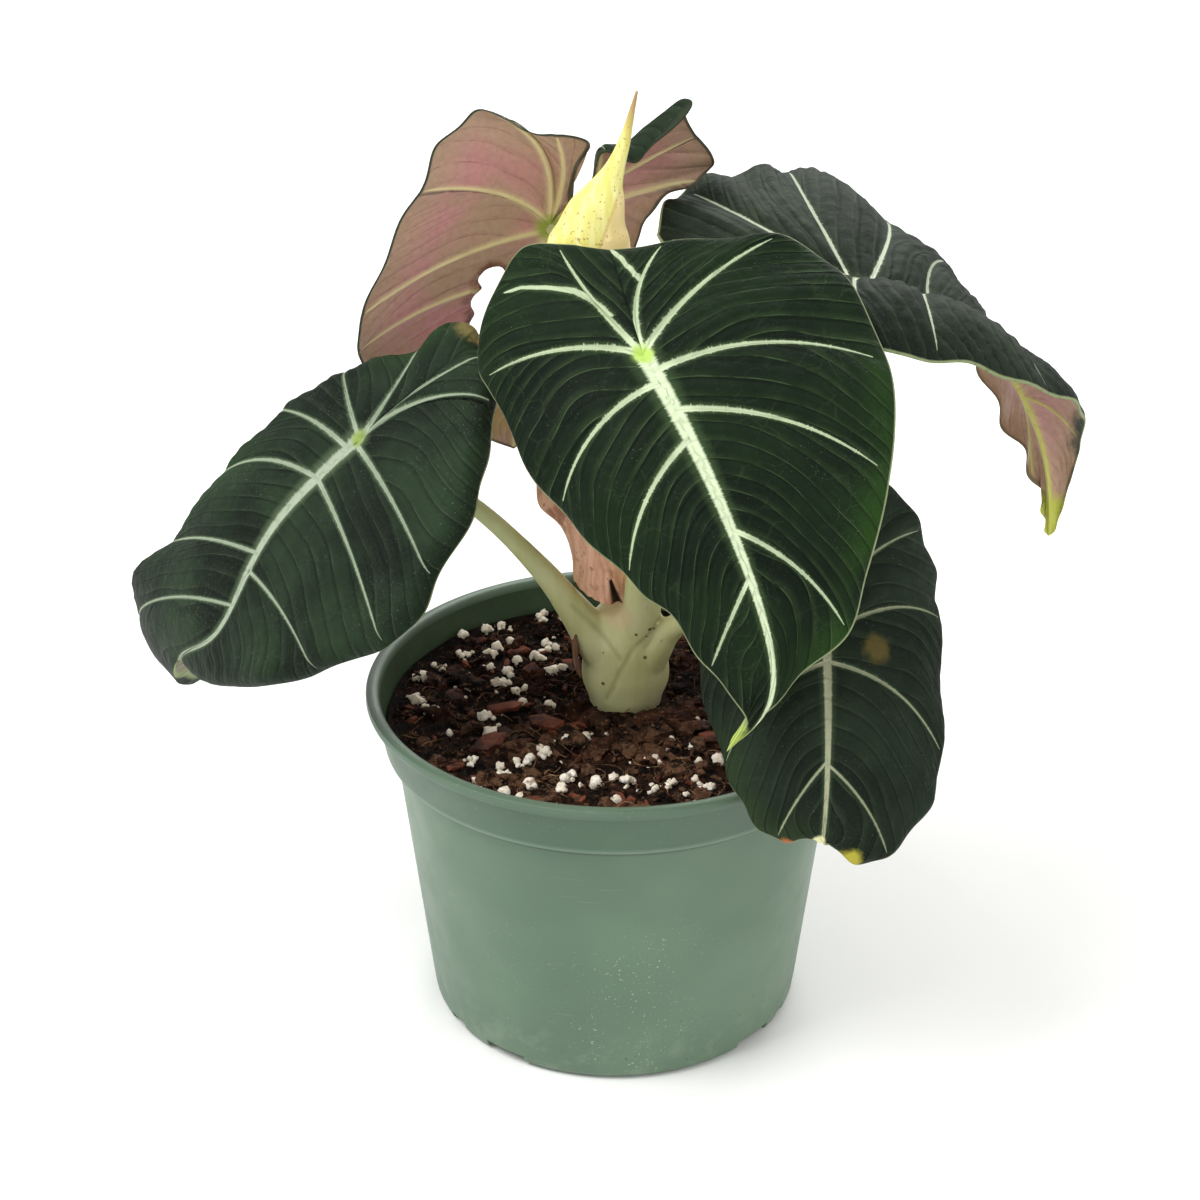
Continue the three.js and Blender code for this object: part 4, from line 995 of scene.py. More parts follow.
def blade_piece(name, leaf):
    stations = front_stations(leaf)
    parts, quads, rims, base = [], [], [], 0
    for half in ("neg", "pos"):
        parts.append(blade_half(name, leaf, half, stations))
        lines, rings = parts[-1][0].shape[:2]
        index = base + np.arange(lines * rings).reshape(lines, rings)
        corners = np.stack([index[:-1, :-1], index[:-1, 1:], index[1:, 1:], index[1:, :-1]], -1)
        corners = corners.reshape(-1, 4)
        quads.append(corners[:, ::-1] if half == "neg" else corners)
        rims.append(index[::-1, -1] if half == "neg" else index[:, -1])
        base += lines * rings
    upper, lower, places, kept = (np.concatenate([part.reshape(-1, part.shape[-1]) for part in both])
                                  for both in zip(*parts))
    quads = np.concatenate(quads)
    walls = [np.stack([rim[:-1], rim[:-1] + base, rim[1:] + base, rim[1:]], -1) for rim in rims]
    if name == "back":
        quads, edges = tear_out(quads, upper, lower, places)
        walls.append(np.stack([edges[:, 0], edges[:, 1], edges[:, 1] + base, edges[:, 0] + base], -1))
        print("edges round the eaten hole:", len(edges))
    obj = mesh_piece("blade_" + name + "_skin", np.concatenate([upper, lower]) * MM,
                     np.concatenate([quads, quads[:, ::-1] + base, *walls]))
    mesh = obj.data
    for k, key in enumerate(KEPT):
        keep_values(mesh, key, np.tile(kept[:, k], 2))
    corners = np.empty(len(mesh.loops), dtype=np.int32)
    mesh.loops.foreach_get("vertex_index", corners)
    flat = np.tile(places, (2, 1))[corners] / FLAT_SPAN + 0.5
    mesh.uv_layers.new(name="flat").data.foreach_set("uv", flat.astype(np.float32).ravel())
    slots = np.zeros(len(mesh.polygons), dtype=np.int32)
    slots[len(quads):2 * len(quads)] = 1
    mesh.polygons.foreach_set("material_index", slots)
    choose(obj)
    bpy.ops.object.mode_set(mode="EDIT")
    bpy.ops.mesh.select_all(action="SELECT")
    bpy.ops.mesh.remove_doubles(threshold=2e-6)
    bpy.ops.mesh.dissolve_degenerate(threshold=1e-6)
    bpy.ops.object.mode_set(mode="OBJECT")
    return obj


blades = {name: blade_piece(name, leaf) for name, leaf in LEAVES.items()}
for name, obj in blades.items():
    print("blade", name, sum(len(p.vertices) - 2 for p in obj.data.polygons), "triangles")


# %% [markdown]
# The crown is where the petioles clasp one another. It is drawn as a turned body and a bent, tapering
# tube for each petiole. A voxel remesh melts them into one skin and a smooth modifier softens the joins.
# Where one sheath laps over the next, the skin is pressed in along a line.

# %% Crown and petioles
# For each petiole its middle line, then its radius at shares of the way up
PETIOLES = {
    "front": ([(6, 7, 122), (8.5, 2, 140), (8, -6, 162), (8, -14, 190), (8, -23, 220)],
              [(0, 8), (0.12, 7.4), (0.22, 6), (0.34, 4.2), (0.55, 3), (1, 2)]),
    "left": ([(1, 7, 118), (-7.5, 5, 131), (-15.5, 3, 144), (-24.5, 2, 157), (-46.1, 1, 180.1)],
             [(0, 8.5), (0.12, 7.6), (0.22, 6), (0.34, 4.6), (0.55, 3.2), (1, 2)]),
    "back": ([(2, 9, 128), (-2, 11, 150), (-9, 22, 190), (-14, 33, 225)], [(0, 4), (0.4, 3), (1, 2)]),
    "right": ([(6, 9, 126), (14, 10, 150), (36, 14, 198), (58, 18, 226)], [(0, 4.2), (0.4, 3), (1, 2)]),
    "low": ([(7, 6, 116), (13, 2.5, 127), (20, -2, 138), (38, -17, 148), (54, -32, 157)],
            [(0, 8), (0.12, 6.4), (0.22, 4.6), (0.35, 3.6), (1, 2)]),
}
STALK = ([(1, 9, 128), (-1, 12, 155), (-5, 17, 195), (-8.5, 20, 227.8)], [(0, 3), (1, 2.4)])
CROWN_PROFILE = [(11.9, 80), (12.1, 106), (12.6, 108.2), (13.7, 110.6), (14.5, 113.2), (14.7, 116),
                 (14.4, 120), (14.2, 124), (13.6, 129), (12.2, 134), (9.5, 139), (5, 143)]
CROWN_SIDES, SKIN_CELL = 48, 0.62
# Seen from the front: (x, z) in millimetres
CREASES = [[(-14.1, 145), (-9.6, 140.2), (-5, 135), (1.6, 126.4)],
           [(15.8, 142.2), (11.3, 135.5), (5.5, 129.2), (1.6, 121.7), (-2.7, 111.1)]]
CREASE_DEPTH, CREASE_BACK, CREASE_TOP = 0.3, 6, 150


def petiole_end(name):
    up = blade_axes(LEAVES[name])[2]
    node = np.array(LEAVES[name]["node"], float)
    return [node - 13 * up, node - 2.3 * up]


def press_creases(obj):
    mesh = obj.data
    points, normals = read_points(mesh), read_points(mesh, "normal")
    flat = points[:, [0, 2]] / MM
    gap = np.full(len(points), FAR)
    for line in CREASES:
        gap = np.minimum(gap, nearest_line(flat, np.array(line, float))[0])
    gap[(points[:, 1] > CREASE_BACK * MM) | (points[:, 2] > CREASE_TOP * MM)] = FAR
    points -= normals * (CREASE_DEPTH * MM * bell(gap, 0.9))[:, None]
    mesh.vertices.foreach_set("co", points.ravel())
    keep_values(mesh, "crease", gap)
    mesh.update()


def crown_piece():
    parts = [tube(path + [tuple(p) for p in petiole_end(name)], radii)
             for name, (path, radii) in PETIOLES.items()]
    parts.append(tube(*STALK))
    angle = np.linspace(0, 2 * np.pi, CROWN_SIDES, endpoint=False)
    body = []
    for r, z in CROWN_PROFILE:
        squeeze = 1 - 0.12 * min(1, max(0, (z - 108) / 4))
        ring = [CROWN_X + r * np.cos(angle), CROWN_Y + r * squeeze * np.sin(angle), 0 * angle + z]
        body.append(np.stack(ring, -1))
    parts.append((np.concatenate(body), tube_faces(len(CROWN_PROFILE), CROWN_SIDES)))
    obj = scatter("crown_skin", parts)
    apply(obj, "REMESH", mode="VOXEL", voxel_size=SKIN_CELL * MM, use_smooth_shade=True)
    apply(obj, "SMOOTH", factor=0.6, iterations=16)
    press_creases(obj)
    return obj


crown = crown_piece()
print("crown faces:", len(crown.data.polygons))


# %% [markdown]
# The spathe is a leaf rolled into a hood. Its sections are ovals that follow a bent line, and a small
# step runs down the front where one edge overlaps the other.

# %% Spathe hood
HOOD_ROWS, HOOD_SIDES = 130, 72
# Middle of each section in millimetres, then its half width and half depth
HOOD = [
    (-8.8, 20, 228.2, 2.6, 2.6), (-9, 20, 232, 6.5, 5.4), (-9.2, 20, 240, 10.6, 7.6),
    (-9.2, 20, 251, 12.8, 8.2), (-8.9, 20, 262.4, 12.6, 7.8), (-8, 20, 268.7, 10.2, 6.9),
    (-6.1, 20, 275.9, 8.2, 5.6), (-3.6, 20, 281.4, 5.3, 4.2), (-0.5, 19.8, 287.6, 3.1, 2.9),
    (2.3, 19, 295.6, 1.9, 1.9), (4.8, 18, 306.2, 0.9, 0.9), (6.1, 17, 312.1, 0.4, 0.4)]
# The overlap runs down at this turn in degrees, leans by so much for each millimetre, and steps out
SEAM_TURN, SEAM_LEAN, SEAM_MIDDLE, SEAM_STEP = -62, 0.55, 262, 0.05


def hood_piece():
    angle = np.linspace(0, 2 * np.pi, HOOD_SIDES, endpoint=False)
    points = []
    for x, y, z, wide, deep in through(HOOD, np.linspace(0, len(HOOD) - 1, HOOD_ROWS)):
        seam = math.radians(SEAM_TURN + SEAM_LEAN * (z - SEAM_MIDDLE))
        turn = (angle - seam) % (2 * np.pi) / (2 * np.pi)
        step = 1 + SEAM_STEP * (1 - turn) * (wide > 1.5)
        pleat = 1 + 0.006 * np.sin(11 * angle + z * 0.05)
        across, along = wide * step * pleat * np.cos(angle), deep * step * pleat * np.sin(angle)
        points.append(np.stack([x + across, y + along, 0 * angle + z], -1))
    return mesh_piece("spathe_hood", np.concatenate(points) * MM, tube_faces(HOOD_ROWS, HOOD_SIDES))


hood = hood_piece()
print("hood faces:", len(hood.data.polygons))


# %% [markdown]
# The dry sheath and the scale are the papery skins of old leaves. Each is one crinkled sheet between
# a left and a right edge, given its thinness by a Solidify modifier. In the front of the sheath the sheet
# is pressed in along a slit that runs downwards, and painted shade darkens its opening.

# %% Papery sheets
# Left edge, right edge, and how far the middle bulges to the front, in millimetres
SHEATH = [
    (-12.4, 6, 148.5, 4.6, 5, 143, 6.5), (-13.6, 8, 151, 4.4, 5, 151, 7), (-14, 10, 158, 3.6, 6, 158, 7.5),
    (-17.5, 13, 166.6, 2.5, 7, 166, 7.5), (-24.8, 18, 172, 1.5, 9, 174, 6.5),
    (-25.8, 22, 179.8, 0.5, 12, 183, 5)]
SCALE = [
    (-14.6, 4, 134.5, -13.0, -1.5, 134, 0.6), (-14.4, 3.5, 128, -12.6, -3, 127.5, 0.7),
    (-13.8, 2.5, 121, -11.6, -4.2, 119.5, 0.5)]
SLIT_TOP, SLIT_X, SLIT_LEAN, SLIT_DEPTH = 154.3, -1.8, 0.24, 2.4
SHEET_THICKNESS = 0.5


def sheet_piece(name, rows, across, up, crinkle, slit=False):
    share = np.linspace(0, 1, across)
    points = []
    for k, row in enumerate(through(rows, np.linspace(0, len(rows) - 1, up))):
        line = row[:3] + (row[3:6] - row[:3]) * share[:, None]
        line[:, 1] -= row[6] * np.sin(np.pi * share)
        line[:, 1] += crinkle * np.sin(share * 21 + 0.11 * k) * np.sin(0.23 * k + share * 5) * 0.5
        line[:, 1] += crinkle * 0.4 * np.sin(share * 47 + 0.3 * np.sin(0.35 * k))
        line[:, 2] += crinkle * 0.8 * np.sin(share * 9) * (k == up - 1)
        if slit:
            below = np.maximum(SLIT_TOP - line[:, 2], 0)
            gap = np.abs(line[:, 0] - SLIT_X - SLIT_LEAN * below)
            line[:, 1] += SLIT_DEPTH * np.minimum(below / 4, 1) * bell(gap, 0.5 + 0.1 * below)
        points.append(line)
    faces = [(k * across + i, k * across + i + 1, (k + 1) * across + i + 1, (k + 1) * across + i)
             for k in range(up - 1) for i in range(across - 1)]
    obj = mesh_piece(name, np.concatenate(points) * MM, faces)
    apply(obj, "SOLIDIFY", thickness=SHEET_THICKNESS * MM, offset=1)
    return obj


sheath = sheet_piece("sheath_skin", SHEATH, 90, 90, 0.5, slit=True)
scale_skin = sheet_piece("scale_skin", SCALE, 18, 40, 0.25)
print("sheath and scale faces:", len(sheath.data.polygons), len(scale_skin.data.polygons))


# %% [markdown]
# Paint is made of nodes. Real finishes are never one flat colour, so each material starts with two
# tones in cloudy patches and then lays one thin tint after another over them, each through a mask.
# A small class keeps the calls short, because every finish uses the same few kinds of node. Tints are
# given as the eye reads them, 0 to 255.

# %% Short calls for nodes
class Paint:
    """A node tree and the place that its patterns follow."""

    def __init__(self, tree, place=None):
        self.tree, self.place = tree, place

    def wire(self, value, socket):
        if hasattr(value, "is_linked"):
            self.tree.links.new(value, socket)
        else:
            socket.default_value = value

    def put(self, kind, inputs, output=0, **settings):
        """Adds a node, fills or links its inputs, and gives back one of its outputs."""
        item = self.tree.nodes.new("ShaderNode" + kind)
        for key, value in settings.items():
            setattr(item, key, value)
        for key, value in inputs.items():
            self.wire(value, item.inputs[key])
        return item.outputs[output]

    def math(self, operation, a, b=0.0, clamp=False):
        return self.put("Math", {0: a, 1: b}, operation=operation, use_clamp=clamp)

    def plus(self, a, b):
        return self.math("ADD", a, b)

    def minus(self, a, b):
        return self.math("SUBTRACT", a, b)

    def times(self, value, *others):
        for other in others:
            value = self.math("MULTIPLY", value, other)
        return value

    def weighed(self, *pairs):
        """The sum of several values, each times its weight."""
        total = self.times(*pairs[0])
        for pair in pairs[1:]:
            total = self.plus(total, self.times(*pair))
        return total

    def centred(self, value, amount):
        return self.times(self.minus(value, 0.5), amount)

    def ramp(self, value, low, high, start=0.0, end=1.0):
        """A soft step: start where the value is low, end where it is high."""
        inputs = {"Value": value, "From Min": low, "From Max": high, "To Min": start, "To Max": end}
        return self.put("MapRange", inputs, "Result", interpolation_type="SMOOTHSTEP")

    def where(self):
        if self.place is None:
            self.place = self.put("TexCoord", {}, "Object")
        return self.place

    def noise(self, scale, detail, roughness, stretch=None, place=None):
        place = self.where() if place is None else place
        if stretch:
            place = self.put("Mapping", {"Vector": place, "Scale": stretch})
        inputs = {"Vector": place, "Scale": scale, "Detail": detail, "Roughness": roughness}
        return self.put("TexNoise", inputs, "Fac")

    def attribute(self, name):
        return self.put("Attribute", {}, "Fac", attribute_name=name)

    def distance(self, a, b):
        return self.put("VectorMath", {0: a, 1: b}, "Value", operation="DISTANCE")


print("short calls:", [call for call in vars(Paint) if not call.startswith("_")])


def new_group(name, inputs, outputs):
    """A node group: its tree, its named inputs with their usual values, and its named masks."""
    tree = bpy.data.node_groups.new(name, "ShaderNodeTree")
    for key, value in inputs.items():
        kind = "NodeSocketVector" if key == "Vector" else "NodeSocketFloat"
        tree.interface.new_socket(key, in_out="INPUT", socket_type=kind).default_value = value
    for key in outputs:
        tree.interface.new_socket(key, in_out="OUTPUT", socket_type="NodeSocketFloat")
    return tree, tree.nodes.new("NodeGroupInput").outputs, tree.nodes.new("NodeGroupOutput").inputs


# %% [markdown]
# Cloudy patches are the effect that every finish shares: dust, damp, streaks, freckles and grain are
# all noise that is cut off softly. So they are one node group, built once, and each material places
# it with its own scale, its own cut and its own strength.

# %% Patches as one group
PATCH_INPUTS = {"Vector": (0, 0, 0), "Scale": 50, "Detail": 3, "Roughness": 0.6, "Low": 0.4, "High": 0.6,
                "Start": 0, "End": 1}


def patches_group():
    tree, given, result = new_group("patches", PATCH_INPUTS, ["Mask"])
    group = Paint(tree, given["Vector"])
    cloud = group.noise(given["Scale"], given["Detail"], given["Roughness"])
    group.wire(group.ramp(cloud, given["Low"], given["High"], given["Start"], given["End"]), result["Mask"])
    return tree


PATCHES = patches_group()
print("patches take:", list(PATCH_INPUTS))


# %% [markdown]
# A second group turns the distances kept on a blade's mesh into masks: the main veins with feathery
# sides, the halo round them, the fine side veins, the lit and the shaded side of each pillow for a
# painted highlight and painted shade, and the margin. Every blade finish uses it, on top and underneath.

# %% Vein masks as one group
MASKS = ("Veins", "Halo", "Fine", "Margin", "Lit", "Shaded", "Pillow")


def vein_group():
    tree, given, result = new_group("vein masks", {"Feather": 0.5, "Softness": 0.3}, MASKS)
    group = Paint(tree)
    group.place = group.put("UVMap", {}, "UV", uv_map="flat")

    away = group.times(group.minus(1.0, group.attribute("reach")), FAR)
    fork = group.plus(group.math("ABSOLUTE", group.attribute("fork")), away)
    branch = group.math("MINIMUM", group.attribute("vein"), fork)
    nearest = group.math("MINIMUM", branch, group.attribute("rib"))
    hairs = group.put("CombineXYZ", {"X": group.attribute("along"), "Y": group.times(nearest, 0.12)})
    spikes = group.ramp(group.noise(2.2, 2, 0.7, place=hairs), 0.5, 0.76, 0, 1.5)
    jitter = group.plus(group.centred(group.noise(240, 3, 0.65), 0.9), spikes)
    jitter = group.times(jitter, given["Feather"])
    gap = group.math("MINIMUM", group.minus(branch, jitter),
                     group.minus(group.attribute("rib"), group.times(jitter, 0.4)))
    veins = group.ramp(gap, group.plus(1.0, given["Softness"]), group.minus(1.0, given["Softness"]))
    halo = group.ramp(gap, 3.0, 0.8)

    wobble = group.centred(group.noise(5, 1, 0.5), 1.6)
    step = group.math("FRACT", group.plus(group.plus(group.attribute("stripe"), wobble), 0.5))
    # The lit and shaded masks carry a painted highlight and painted shade on each pillow.
    lit_patches = group.ramp(group.noise(9, 3, 0.6), 0.35, 0.65, 0.15, 1)
    lit = group.times(group.ramp(step, 0.5, 0.54), group.ramp(step, 0.54, 0.9, 1, 0), lit_patches)
    shaded = group.times(group.ramp(step, 0.2, 0.46), group.ramp(step, 0.46, 0.5, 1, 0))
    pillow = group.math("ABSOLUTE", group.math("SINE", group.times(group.attribute("stripe"), math.pi)))

    patchy = group.ramp(group.noise(19, 3, 0.6), 0.4, 0.6, 0.15, 1)
    lines = group.times(group.ramp(group.math("ABSOLUTE", group.minus(step, 0.5)), 0.04, 0.0), patchy)
    bent = group.put("VectorMath", {0: group.place, 1: group.centred(group.noise(12, 2, 0.5), 0.06)},
                     operation="ADD")
    net = group.put("TexVoronoi", {"Vector": bent, "Scale": 26}, "Distance", feature="DISTANCE_TO_EDGE")
    crinkle = group.times(group.ramp(net, 0.05, 0, 0, 0.14), group.ramp(group.noise(14, 2, 0.5), 0.45, 0.6))
    fine = group.math("MAXIMUM", lines, crinkle)
    margin = group.ramp(group.attribute("edge"), 1.1, 0.5)

    for name, mask in zip(MASKS, (veins, halo, fine, margin, lit, shaded, pillow)):
        group.wire(mask, result[name])
    return tree


VEIN_MASKS = vein_group()
print("vein masks:", MASKS)


# %% [markdown]
# A finish is one material. It is painted coat over coat, and the last step joins the colour and a
# slight unevenness to the shader. What is the same all over, such as the sheen, is set on the shader.

# %% Finishes
class Finish(Paint):
    """A material with its Principled shader, painted on Object coordinates or on a blade's flat map."""

    def __init__(self, name, settings, flat=False):
        self.material = bpy.data.materials.new(name)
        self.material.use_nodes = True
        super().__init__(self.material.node_tree)
        self.shader = self.tree.nodes["Principled BSDF"].inputs
        for key, value in settings.items():
            self.shader[key].default_value = value
        if flat:
            self.place = self.put("UVMap", {}, "UV", uv_map="flat")

    def placed(self, group, inputs):
        item = self.tree.nodes.new("ShaderNodeGroup")
        item.node_tree = group
        for key, value in inputs.items():
            self.wire(value, item.inputs[key])
        return item.outputs

    def patches(self, scale, detail, roughness, low, high, start=0.0, end=1.0, stretch=None):
        place = self.where()
        if stretch:
            place = self.put("Mapping", {"Vector": place, "Scale": stretch})
        values = (place, scale, detail, roughness, low, high, start, end)
        return self.placed(PATCHES, dict(zip(PATCH_INPUTS, values)))["Mask"]

    def axis(self, name):
        return self.put("SeparateXYZ", {0: self.where()}, name)

    def across(self, name, low, high, start=0.0, end=1.0):
        """A soft step along X, Y or Z, between two places in millimetres."""
        return self.ramp(self.axis(name), low * MM, high * MM, start, end)

    def mixed(self, mask, a, b):
        return self.put("Mix", {0: mask, 6: a, 7: b}, 2, data_type="RGBA")

    def base(self, mask, a, b):
        self.colour = self.mixed(mask, shade(*a), shade(*b))

    def lay(self, tint, *masks):
        """Lays a tint over the paint so far, where all the masks agree."""
        self.colour = self.mixed(self.times(*masks), self.colour, shade(*tint))

    def done(self, height, strength, distance):
        """Joins the paint and its relief, with a depth in millimetres, and gives back the material."""
        relief = {"Height": height, "Strength": strength, "Distance": distance * MM}
        self.wire(self.put("Bump", relief, "Normal"), self.shader["Normal"])
        self.wire(self.colour, self.shader["Base Color"])
        return self.material


def blotches(finish, spots):
    """Ragged local patches: flat place and radius in millimetres, and a tint."""
    for (x, y), radius, tint in spots:
        gap = finish.distance(finish.place, (x / FLAT_SPAN + 0.5, y / FLAT_SPAN + 0.5, 0))
        ragged = finish.centred(finish.noise(40, 4, 0.65), 1.2)
        reach = finish.plus(finish.times(gap, FLAT_SPAN / radius), ragged)
        finish.lay(tint, finish.ramp(reach, 1.25, 0.5))


print("calls for a finish:", [call for call in vars(Finish) if not call.startswith("_")])


# %% [markdown]
# The top of a blade is nearly black green with a velvet sheen: the tiny hairs catch light at a glance.
# The veins are cream-green, the margin a thin pale line, and pale dust lies here and there. All five
# blades share one recipe, and each has its own tones and blotches.

# %% Velvet top
def velvet(name, dark, mid, vein, side_vein, dust, spots=(), bright=None, lit_side=1, haze=0.0,
           fine_strength=0.36, fold_highlight=0.16, glow=0.36, rim=(150, 162, 118)):
    top = Finish("velvet " + name, {"Specular IOR Level": 0.08, "Sheen Weight": 0.012 + haze,
                                    "Sheen Roughness": 0.4, "Sheen Tint": (0.8, 0.92, 0.84, 1)}, flat=True)
    masks = top.placed(VEIN_MASKS, {"Feather": 0.6, "Softness": 0.3})
    top.base(top.patches(5, 3, 0.55, 0.35, 0.68), dark, mid)
    # Painted light: a brighter green near the margin on the lit half.
    if bright:
        near_edge = top.ramp(top.attribute("edge"), 14, 0.5, 0, 0.6)
        lit_half = top.ramp(top.axis("Y"), 0.5 - 0.03 * lit_side, 0.5 + 0.12 * lit_side, 0.1, 1)
        top.lay(bright, near_edge, lit_half, top.patches(4, 2, 0.5, 0.4, 0.62))
    # Painted shade on the shaded side of each pillow, and a painted highlight on its lit side.
    top.lay((8, 13, 9), masks["Shaded"], 0.5)
    top.lay(side_vein, masks["Lit"], fold_highlight)
    top.lay(mid, top.patches(260, 3, 0.7, 0.35, 0.75, 0, 0.4))
    top.lay(side_vein, masks["Fine"], fine_strength)
    top.lay(side_vein, masks["Halo"], glow)
    top.lay(vein, masks["Veins"])
    top.lay(side_vein, masks["Veins"], top.ramp(top.attribute("rib"), 1.5, 4, 0, 0.3))
    top.lay(rim, masks["Margin"], 0.85)
    specks, dusty = top.patches(620, 2, 0.6, 0.7, 0.75), top.patches(11, 2, 0.5, 0.42, 0.6)
    top.lay((196, 205, 190), top.math("MULTIPLY", specks, top.times(dusty, dust), clamp=True))
    blotches(top, spots)
    top.wire(top.ramp(masks["Veins"], 0, 1, 0.6, 0.45), top.shader["Roughness"])
    height = top.weighed((top.noise(900, 2, 0.6), 0.15), (top.noise(42, 4, 0.6), 1.1),
                         (top.noise(17, 3, 0.6), 2.6), (top.ramp(masks["Pillow"], 0, 0.6), 0.7))
    return top.done(height, 0.7, 0.8)


TOPS = {
    "front": velvet("front", (10, 21, 12), (20, 36, 18), (200, 214, 178), (82, 106, 66), 0.8,
                    bright=(48, 82, 26), lit_side=-1, fine_strength=0.5,
                    spots=[((0, 0), 3.6, (172, 202, 98)), ((123, 19), 6, (176, 196, 96))]),
    "left": velvet("left", (10, 17, 12), (36, 52, 34), (158, 170, 148), (92, 110, 82), 2.8,
                   bright=(46, 80, 32), haze=0.02, fold_highlight=0.08, glow=0.62, fine_strength=0.24,
                   spots=[((0, 0), 3, (140, 160, 88)), ((-51, 7), 6, (120, 110, 70)),
                          ((-52, 1), 2.2, (205, 130, 60))]),
    "back": velvet("back", (20, 30, 20), (32, 44, 30), (120, 140, 104), (60, 80, 56), 0.4,
                   rim=(50, 58, 42)),
    "right": velvet("right", (18, 26, 18), (44, 54, 42), (212, 220, 196), (82, 96, 72), 0.6),
    "low": velvet("low", (16, 25, 18), (33, 45, 32), (158, 162, 132), (78, 96, 68), 0.9,
                  bright=(52, 70, 34), haze=0.01,
                  spots=[((12, -15), 4.6, (84, 76, 40)), ((74, 14), 3, (170, 108, 66)),
                         ((71, 4), 1.8, (224, 222, 170)), ((78, -5), 4.5, (172, 164, 60)),
                         ((79, -2), 2.2, (150, 84, 44))]),
}
print("tops:", [mat.name for mat in TOPS.values()])


# %% [markdown]
# Underneath, a young blade is silky and pink to tan, with pale veins in relief. The back blade shows
# this side, and rust rings the hole that was eaten in it.

# %% Silky underside
RUST = (98, 50, 28)


def silky(name, pink, tan, vein, spots=(), rim=(120, 110, 80)):
    under = Finish("underside " + name, {"Specular IOR Level": 0.3, "Sheen Weight": 0.08}, flat=True)
    masks = under.placed(VEIN_MASKS, {"Feather": 0.3, "Softness": 0.45})
    near_edge = under.ramp(under.attribute("edge"), 22, 1)
    cloud = under.math("MAXIMUM", under.patches(4, 4, 0.6, 0.4, 0.62), near_edge)
    under.base(under.times(cloud, 0.8), pink, tan)
    under.lay((120, 80, 78), under.patches(90, 3, 0.7, 0.35, 0.8, 0, 0.3))
    under.lay((122, 70, 66), masks["Fine"], 0.6)
    under.lay(vein, masks["Halo"], 0.4)
    under.lay(vein, masks["Veins"], 0.9)
    under.lay(rim, masks["Margin"], 0.85)
    blotches(under, spots)
    height = under.minus(under.noise(50, 4, 0.6), under.ramp(masks["Pillow"], 0, 0.6, 0, 0.8))
    return under.done(height, 0.4, 0.8)


HIDDEN_TONES = (150, 110, 105), (140, 125, 90), (185, 190, 140)
UNDERSIDES = {
    "front": silky("front", *HIDDEN_TONES),
    "left": silky("left", (105, 110, 70), (80, 90, 55), (170, 180, 130)),
    "back": silky("back", (194, 134, 136), (170, 148, 118), (218, 203, 152), rim=(56, 62, 46),
                  spots=[((80, -8), 14, (170, 145, 98)), ((1, 0), 5, (158, 170, 72)),
                         *((place, radius + 2.4, RUST) for place, radius in TEAR)]),
    "right": silky("right", (186, 136, 136), (176, 150, 118), (190, 190, 96),
                   [((107, 15), 6, (58, 66, 52)), ((98, 20), 7, (50, 58, 46)),
                    ((117, 11), 3, (70, 76, 58)), ((136, 0), 11, (186, 190, 80))]),
    "low": silky("low", *HIDDEN_TONES),
}
for name, obj in blades.items():
    obj.data.materials.append(TOPS[name])
    obj.data.materials.append(UNDERSIDES[name])
print("undersides:", [mat.name for mat in UNDERSIDES.values()])


# %% [markdown]
# The pot's plastic is satin and slightly uneven. It is greyed in patches on top of the lip, and dust greys
# it near the foot. Painted shade darkens the band and the lip above it, a painted shadow lies in the step
# under the band with a painted highlight along the band's bottom edge, and fine pale scuffs cross the wall.
# Heights are in millimetres.

# %% Pot plastic
SPECKS_MIDDLE = -4


def pot_finish():
    wall = Finish("satin green plastic", {})
    wall.base(wall.patches(14, 3, 0.5, 0.35, 0.65), (83, 108, 87), (94, 119, 96))
    wall.lay((150, 162, 146), wall.across("Z", 112, 115.8, 0, 0.25),
             wall.patches(60, 4, 0.65, 0.3, 0.7, 0.5, 1))
    # Painted shade: the band and the lip above it are darker.
    wall.lay((52, 78, 58), wall.across("Z", 96.5, 98.5, 0, 0.55))
    # Painted shadow in the step under the band.
    wall.lay((44, 64, 48), wall.across("Z", 93.5, 95.5), wall.across("Z", 97.2, 96.6), 0.85)
    # Painted highlight along the bottom edge of the band.
    wall.lay((140, 162, 142), wall.across("Z", 96.6, 97.2), wall.across("Z", 99.2, 97.8), 0.22)
    wall.lay((150, 158, 140), wall.across("Z", 30, 4, 0, 0.22), wall.patches(120, 3, 0.7, 0.45, 0.7))
    aside = wall.math("ABSOLUTE", wall.minus(wall.axis("X"), SPECKS_MIDDLE * MM))
    low_front = wall.times(wall.ramp(aside, 45 * MM, 8 * MM), wall.across("Z", 75, 50),
                           wall.patches(34, 3, 0.6, 0.42, 0.6, 0.08, 1))
    speckled = wall.math("MAXIMUM", low_front, wall.across("Z", 98, 104, 0, 0.1))
    wall.lay((196, 200, 180), wall.patches(1050, 2, 0.6, 0.655, 0.7), speckled, 0.7)
    wall.lay((62, 60, 44), wall.patches(520, 2, 0.6, 0.7, 0.74), wall.across("Z", 40, 8, 0.15, 1), 0.7)
    wall.lay((190, 198, 184), wall.patches(60, 3, 0.6, 0.66, 0.72, stretch=(1, 1, 14)), 0.07)
    wall.wire(wall.patches(40, 4, 0.6, 0.3, 0.7, 0.36, 0.5), wall.shader["Roughness"])
    return wall.done(wall.noise(300, 3, 0.5), 0.12, 0.4)


pot.data.materials.append(pot_finish())
print("pot wall:", pot.active_material.name)


# %% [markdown]
# The inside is darker, because it lies in shade and holds damp soil. It is the same moulded body, so
# its faces are found by their place and by looking towards the middle, and get a material of their own.

# %% Inside of the pot
# In millimetres, just inside the floor, the lip and the wall
INSIDE_BOTTOM, INSIDE_TOP, INSIDE_RADIUS, INSIDE_MIDDLE = 7, 113.5, 78.5, 20


